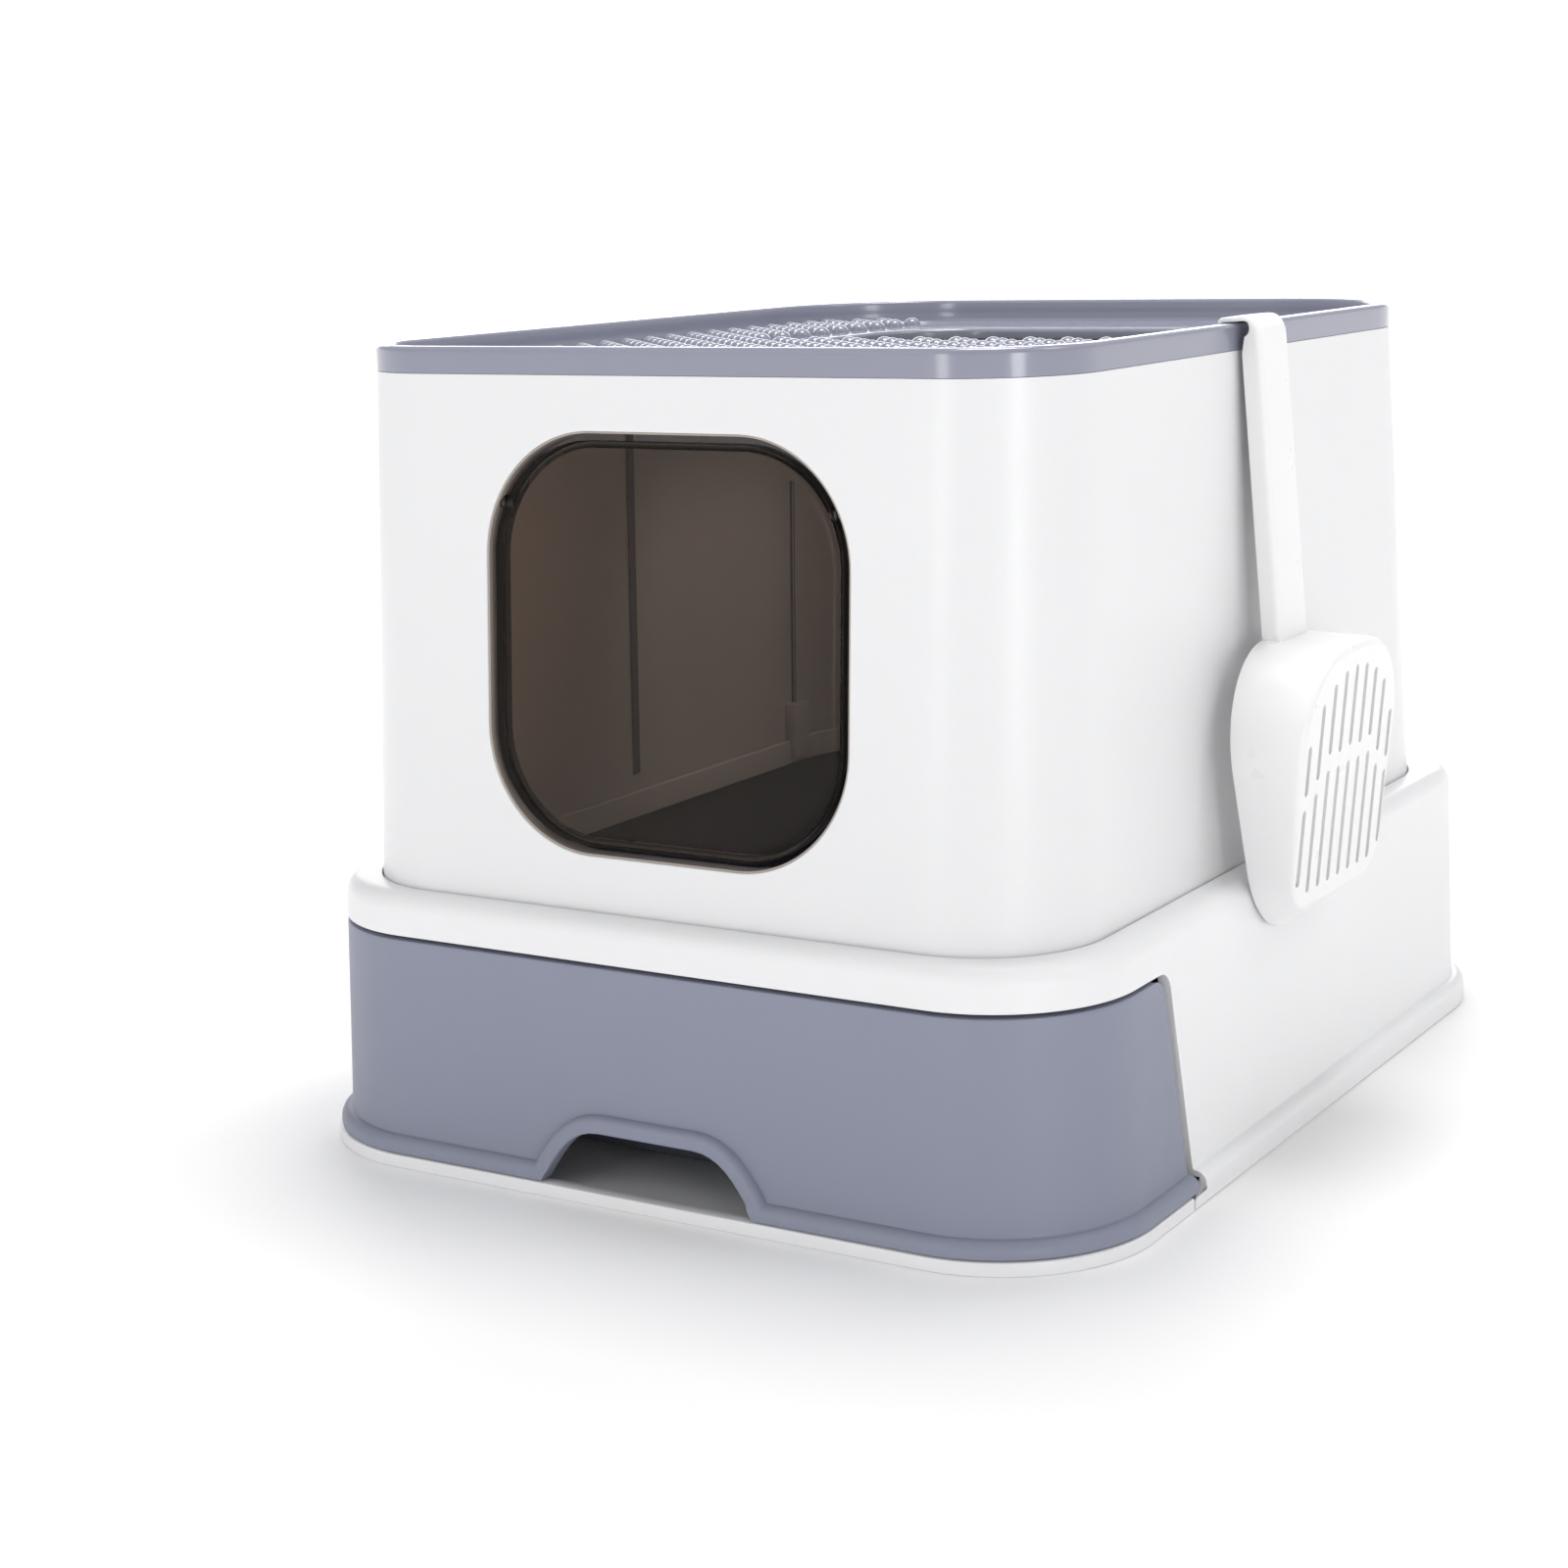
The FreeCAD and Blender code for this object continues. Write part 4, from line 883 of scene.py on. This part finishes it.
def build_bowl():
    """The scoop's bowl, an open tray with a leaning side wall and a sloping back."""
    def rim(inset, depth=0.0):
        shape = bowl_outline(59.8 - inset, 52.0 - inset, 45.0 - inset, 38.0 - inset,
                             129.0 - 2 * inset)
        return [Vector((p.x, -BOWL_START - inset + p.y, depth)) for p in shape]

    def back(inset, lift):
        shape = bowl_outline(57.0 - inset, 53.5 - inset, 42.0 - inset,
                             max(18.0 - inset, 3.0), 113.0 - 2 * inset)
        c, s = math.cos(BACK_SLOPE), math.sin(BACK_SLOPE)
        return [Vector((p.x, -BOWL_START - BACK_DROP + (p.y - inset) * c,
                        BACK_OUT - lift + (p.y - inset) * s)) for p in shape]

    def side(low, high, share):
        return [a.lerp(b, share) for a, b in zip(low, high)]

    def rounded(low, corner, flat, share):
        """Rows that bend from the side wall into the back plate."""
        start = side(low, corner, share)
        return [[(1 - t) ** 2 * a + 2 * (1 - t) * t * b + t * t * c
                 for a, b, c in zip(start, corner, flat)] for t in spread(0.0, 1.0, 8)]
    wall = 2.0
    outer_low, outer_high, outer_flat = rim(0.0, 1.0), back(0.0, 0.0), back(3.8, 0.0)
    inner_low, inner_high = rim(wall, 1.0), back(2.6, wall)
    inner_flat = back(5.0, wall)
    inner_bend = rounded(inner_low, inner_high, inner_flat, 0.9)[::-1]
    loops = [back(6.2, wall), back(5.5, wall), inner_flat] + inner_bend[1:]
    loops += [side(inner_low, inner_high, t) for t in (0.5, 0.2)] + [inner_low]
    loops += [rim(1.6, 0.3), rim(1.1, 0.0), rim(0.6, 0.0), rim(0.2, 0.3), outer_low]
    loops += [side(outer_low, outer_high, t) for t in (0.2, 0.5)]
    loops += rounded(outer_low, outer_high, outer_flat, 0.88) + [back(4.3, 0.0), back(5.0, 0.0)]
    solid = Solid()
    solid.grid([[scoop_place(*p) for p in loop] for loop in loops], round_path=True)
    solid.face([scoop_place(*p) for p in loops[0]])
    solid.face([scoop_place(*p) for p in loops[-1]])
    return solid.mesh("scoop_bowl")


SLOT_PITCH, SLOT_HALF = 12.3, 2.0
SLOT_ROWS = [[(151, 187), (152, 188), (156, 187), (163, 196), (179, 201)],
             [(194, 246), (194, 246), (194, 246), (202, 246), (207, 241)]]


def back_plane(up):
    """How far the bowl's sloping back stands off the wall, at a place down the scoop."""
    return BACK_OUT + (up + BOWL_START + BACK_DROP) * math.tan(BACK_SLOPE)


def build_slot_cutters():
    """Upright slots with round ends, long enough to cut through the bowl's back."""
    solid = Solid()
    for ends in SLOT_ROWS:
        for place in range(-4, 5):
            high, low = (-end for end in ends[abs(place)])
            x = place * SLOT_PITCH
            shape = [(x + SLOT_HALF * math.cos(a), high - SLOT_HALF + SLOT_HALF * math.sin(a))
                     for a in spread(0, math.pi, 8)]
            shape += [(x + SLOT_HALF * math.cos(a), low + SLOT_HALF + SLOT_HALF * math.sin(a))
                      for a in spread(math.pi, 2 * math.pi, 8)]
            loops = [[scoop_place(a, b, back_plane(b) + off) for a, b in shape]
                     for off in (-4.0, 9.0)]
            solid.grid(loops, round_path=True)
            solid.face(loops[0])
            solid.face(loops[1])
    return solid.mesh("slot_cutters")


def build_handle():
    """A channel-section handle that bends over the lid's rim into a short hook."""
    width, thick, plate = 16.0, 9.5, 2.2
    bend, top_y = 9.0, 4.5
    end_out, end_down = -10.9, -7.0
    # numbers of the rows along the path where the section changes
    taper_from, taper_to, sharp_from, narrow_from = 8, 19, 17, 21
    path = []
    low = (-BOWL_START - 3.0, -BOWL_START + 6)
    for y in low + (-110.0, -80.0, -50.0, -30.0, -18.0, -12.0, -8.0):
        path.append((Vector((thick, y)), Vector((1, 0))))
    for c, s in quarter(10):
        path.append((Vector((thick - bend + bend * c, top_y - bend + bend * s)),
                     Vector((c, s))))
    path.append((Vector((-3.0, top_y)), Vector((0, 1))))
    inner_bend = 2.6
    for c, s in quarter(5):
        place = Vector((end_out + inner_bend - inner_bend * s,
                        top_y - inner_bend + inner_bend * c))
        path.append((place, Vector((-s, c))))
    path.append((Vector((end_out, end_down + 0.5)), Vector((-1, 0))))
    path.append((Vector((end_out + 0.4, end_down)), Vector((-1, 0))))
    rows = []
    for number, (place, outward) in enumerate(path):
        if number < taper_from:
            legs = thick
        elif number < taper_to:
            legs = mix(thick, plate, min(1.0, (number - taper_from + 1) / 9))
        else:
            legs = plate
        edge = min(3.6, legs * 0.6) if number < sharp_from else 1.1
        half = width - (1.0 if number >= narrow_from else 0.0)
        section = [(-half, legs - 0.3)]
        section += [(-half + edge - edge * c, edge - edge * s) for c, s in quarter(6)]
        section += [(half - edge + edge * s, edge - edge * c) for c, s in quarter(6)]
        section += [(half, legs - 0.3), (half - 0.3, legs)]
        inner = min(plate, legs - 0.02)
        section += [(half - plate + 0.3, legs), (half - plate, max(inner, legs - 0.3)),
                    (half - plate - 0.4, inner), (-half + plate + 0.4, inner),
                    (-half + plate, max(inner, legs - 0.3)), (-half + plate - 0.3, legs),
                    (-half + 0.3, legs)]
        rows.append([scoop_place(x, *reversed(tuple(place - n * outward)))
                     for x, n in section])
    solid = Solid()
    solid.grid(rows, round_path=True)
    solid.face(rows[0])
    solid.face(rows[-1])
    return solid.mesh("scoop_handle")


def combined(first, second, operation):
    """The first mesh with the second joined to it or cut from it."""
    objects = [bpy.data.objects.new(mesh.name + "_work", mesh) for mesh in (first, second)]
    for thing in objects:
        put(thing)
    modifier = objects[0].modifiers.new("combine", "BOOLEAN")
    modifier.operation = operation
    modifier.solver = "EXACT"
    modifier.object = objects[1]
    graph = bpy.context.evaluated_depsgraph_get()
    result = bpy.data.meshes.new_from_object(objects[0].evaluated_get(graph))
    for thing in objects:
        bpy.data.objects.remove(thing)
    return result


def build_scoop():
    """Bowl less slots, joined to the handle."""
    bowl = combined(build_bowl(), build_slot_cutters(), "DIFFERENCE")
    return combined(bowl, build_handle(), "UNION")


# --------------------------------------------------------- strips and hood clips
def bevelled_block(solids, name, width, dark=()):
    """Closed blocks from eight corners each, with their edges rounded.

    The blocks numbered in dark take the piece's second material.
    """
    mesh = bpy.data.meshes.new(name)
    work = bmesh.new()
    sides = ((0, 1, 2, 3), (7, 6, 5, 4), (0, 4, 5, 1), (1, 5, 6, 2), (2, 6, 7, 3), (3, 7, 4, 0))
    for number, corners in enumerate(solids):
        points = [work.verts.new([c * MM for c in corner]) for corner in corners]
        for side in sides:
            made = work.faces.new([points[i] for i in side])
            made.material_index = 1 if number in dark else 0
    bmesh.ops.recalc_face_normals(work, faces=work.faces)
    bmesh.ops.bevel(work, geom=work.edges, offset=width * MM, segments=3, affect="EDGES",
                    profile=0.5)
    work.to_mesh(mesh)
    work.free()
    return mesh


def build_joint_strip(side):
    """The thin strip over the joint between the hood's halves, on the inside."""
    low, high, half, thick = 129.0, 338.0, 2.7, 1.4
    corners = []
    for y in (-half, half):
        for z, off in ((low, 0.0), (high, 0.0), (high, thick), (low, thick)):
            corners.append((side * (hood_wall(z, WALL)[0] - off), y, z))
    return bevelled_block([corners], "joint_strip_visual", 0.5)


def build_hood_clips():
    """Stepped tongues at the hood's foot, the rear ones with a thin rib above them."""
    top, bottom, width, thick = 141.0, 110.0, 15.0, 3.4
    rib_top, rib_half, rib_deep = 268.0, 1.0, 2.4
    front_clip, rear_clip = -166.0, 157.9
    blocks, ribs = [], []
    for side in (-1, 1):
        tongue = side * (180.0 - 6.0 - 0.4 - thick)
        wall = side * hood_wall(top, WALL)[0]
        for middle in (front_clip, rear_clip):
            low, high = middle - width / 2, middle + width / 2
            sections = [(tongue, wall, HOOD_LOW + 0.5, top, low, high),
                        (tongue + side * 0.01, tongue + side * thick, bottom, HOOD_LOW + 2,
                         low + 0.01, high - 0.01)]
            for near, far, foot, head, left, right in sections:
                blocks.append([(x, y, z) for y in (left, right)
                               for x, z in ((near, foot), (near, head), (far, head), (far, foot))])
        edges = [(side * (hood_wall(z, WALL)[0] - deep), z) for z, deep in
                 ((top - 1, rib_deep), (rib_top, rib_deep), (rib_top, 0.0), (top - 1, 0.0))]
        ribs.append([(x, y, z) for y in (rear_clip - rib_half, rear_clip + rib_half)
                     for x, z in edges])
    # the ribs take the grey second material, a painted shade line inside each rear corner
    dark = range(len(blocks), len(blocks) + len(ribs))
    return bevelled_block(blocks + ribs, "hood_clips_visual", 0.4, dark)


# ------------------------------------------------------------- pieces on the frame
piece("base_shell_detailed", build_base_shell(), [BASE_WHITE], "base",
      ["base_shell"])
piece("base_plate_detailed", build_base_plate(), [BASE_WHITE], "base",
      ["base_plate"])
piece("drawer_front_detailed", build_drawer_front(), [DRAWER_GREY], "drawer",
      ["drawer_front"])
piece("litter_pan_detailed", build_litter_pan(), [PAN_GREY], "drawer", ["litter_pan"])
piece("hood_front_detailed", build_hood_front(), [HOOD_WHITE_SHADED], "hood", ["hood_front"])
piece("hood_rear_detailed", build_hood_rear(), [HOOD_WHITE_SHADED], "hood", ["hood_rear"])
# the reveal ring paints the shade on the entry's white reveal wall
piece("reveal_shade_ring_detailed", build_reveal_shade_ring(), [REVEAL_SHADE], "hood", [])
for side, word in ((-1, "left"), (1, "right")):
    # the joint strips' grey paints the shade of the gap between the hood's halves
    piece("joint_strip_%s_detailed" % word, build_joint_strip(side), [SHADE_LINE_GREY], "hood",
          ["joint_strip_" + word])
    piece("flap_pin_%s_detailed" % word, build_flap_pin(side), [PIN_DARK], "flap",
          ["flap_pin_" + word])
piece("hood_clips_detailed", build_hood_clips(), [HOOD_WHITE_SHADED, SHADE_LINE_GREY], "hood",
      ["hood_clips"])
piece("door_flap_detailed", build_door_flap(), [SMOKE, SMOKE_RIM], "flap", ["door_flap"])
piece("lid_detailed", build_lid(), [LID_GREY], "lid", ["lid"])
piece("scoop_detailed", build_scoop(), [SCOOP_WHITE], "scoop", ["scoop"])


# --------------------------------------------------------- floor, light and camera
FLOOR_GLOW, GLOW_FROM, GLOW_FULL = 0.6, 0.42, 1.3
ROOM_GLOW, HORIZON_GLOW = 0.5, 1.04
LOOK_AT = (0, 0, 0.2)
FRONT_CORNER = (0.13, -0.21, 0.3)
# name: where it stands, what it faces, width and height in metres, watts
LIGHTS = {
    "key": ((-1.1, -2.4, 1.7), LOOK_AT, (1.4, 1.2), 6),
    "left_box": ((-0.585, -2.495, 0.38), FRONT_CORNER, (0.45, 0.72), 4.6),
    "right_box": ((1.96, -1.48, 0.38), FRONT_CORNER, (0.5, 0.72), 6.2),
    "top_box": ((0.0, 0.1, 1.7), LOOK_AT, (0.6, 0.6), 15),
    "side_box": ((1.1, 0.15, 1.45), (0, 0.08, 0.35), (0.5, 0.5), 3),
    "back_box": ((-1.32, 2.12, 0.91), (0, 0, 0.36), (2.6, 1.0), 22),
}
CAMERA_AZIMUTH, CAMERA_ELEVATION, CAMERA_ROLL = 31.91, 11.72, -1.62
CAMERA_PLACE = (0.6582, -1.1939, 0.4229)
CAMERA_LENS = 64.8


def build_floor():
    """A plain pale floor that glows a little away from the object, so it meets the room."""
    mesh = bpy.data.meshes.new("floor")
    reach = 12.0
    corners = [(-reach, -reach, 0), (reach, -reach, 0), (reach, reach, 0), (-reach, reach, 0)]
    mesh.from_pydata(corners, [], [(0, 1, 2, 3)])
    floor = bpy.data.objects.new("floor", mesh)
    put(floor)
    material, tree, surface = new_material("pale_floor")
    drift = ramp(tree, noise(tree, 1.5, 2.0), 0.0, 1.0)
    tone = tint(tree, drift, (0.93, 0.93, 0.93), (0.95, 0.95, 0.95))
    tree.links.new(tone, surface.inputs["Base Color"])
    surface.inputs["Roughness"].default_value = 0.6
    where = tree.nodes.new("ShaderNodeTexCoord")
    away = tree.nodes.new("ShaderNodeVectorMath")
    away.operation = "LENGTH"
    tree.links.new(where.outputs["Object"], away.inputs[0])
    glow = ramp(tree, away.outputs["Value"], 0.0, FLOOR_GLOW, GLOW_FROM, GLOW_FULL)
    surface.inputs["Emission Color"].default_value = (1, 1, 1, 1)
    tree.links.new(glow, surface.inputs["Emission Strength"])
    mesh.materials.append(material)


def area_light(name, place, target, size, power):
    light = bpy.data.lights.new(name, "AREA")
    light.shape = "RECTANGLE"
    light.size, light.size_y = size
    light.energy = power
    lamp = bpy.data.objects.new(name, light)
    lamp.location = place
    away = Vector(place) - Vector(target)
    lamp.rotation_euler = away.to_track_quat("Z", "Y").to_euler()
    put(lamp)


def build_world():
    """A soft room that is brightest along the horizon, where it meets the floor."""
    world = bpy.data.worlds.new("studio")
    world.use_nodes = True
    tree = world.node_tree
    where = tree.nodes.new("ShaderNodeTexCoord")
    parts = tree.nodes.new("ShaderNodeSeparateXYZ")
    tree.links.new(where.outputs["Generated"], parts.inputs["Vector"])
    glow = tree.nodes["Background"]
    glow.inputs["Color"].default_value = (1, 1, 1, 1)
    strength = ramp(tree, parts.outputs["Z"], HORIZON_GLOW, ROOM_GLOW, 0.08, 0.16)
    tree.links.new(strength, glow.inputs["Strength"])
    bpy.context.scene.world = world


def build_lights():
    """A broad key, softboxes at both front corners, and more overhead, beside and behind."""
    for name, (place, target, size, power) in LIGHTS.items():
        area_light(name, place, target, size, power)
    bpy.context.scene.view_settings.view_transform = "Standard"


def build_camera():
    """The camera at the object's front right, turned by azimuth, elevation and roll."""
    azimuth, elevation = math.radians(CAMERA_AZIMUTH), math.radians(CAMERA_ELEVATION)
    roll = math.radians(CAMERA_ROLL)
    back = Vector((math.sin(azimuth) * math.cos(elevation),
                   -math.cos(azimuth) * math.cos(elevation), math.sin(elevation)))
    level = Vector((math.cos(azimuth), math.sin(azimuth), 0))
    above = back.cross(level)
    right = math.cos(roll) * level + math.sin(roll) * above
    up = -math.sin(roll) * level + math.cos(roll) * above
    lens = bpy.data.cameras.new("camera")
    lens.sensor_width = 36.0
    lens.lens = CAMERA_LENS
    camera = bpy.data.objects.new("camera", lens)
    turn = Matrix((right, up, back)).transposed().to_4x4()
    camera.matrix_world = Matrix.Translation(CAMERA_PLACE) @ turn
    put(camera)
    bpy.context.scene.camera = camera


build_floor()
build_world()
build_lights()
build_camera()
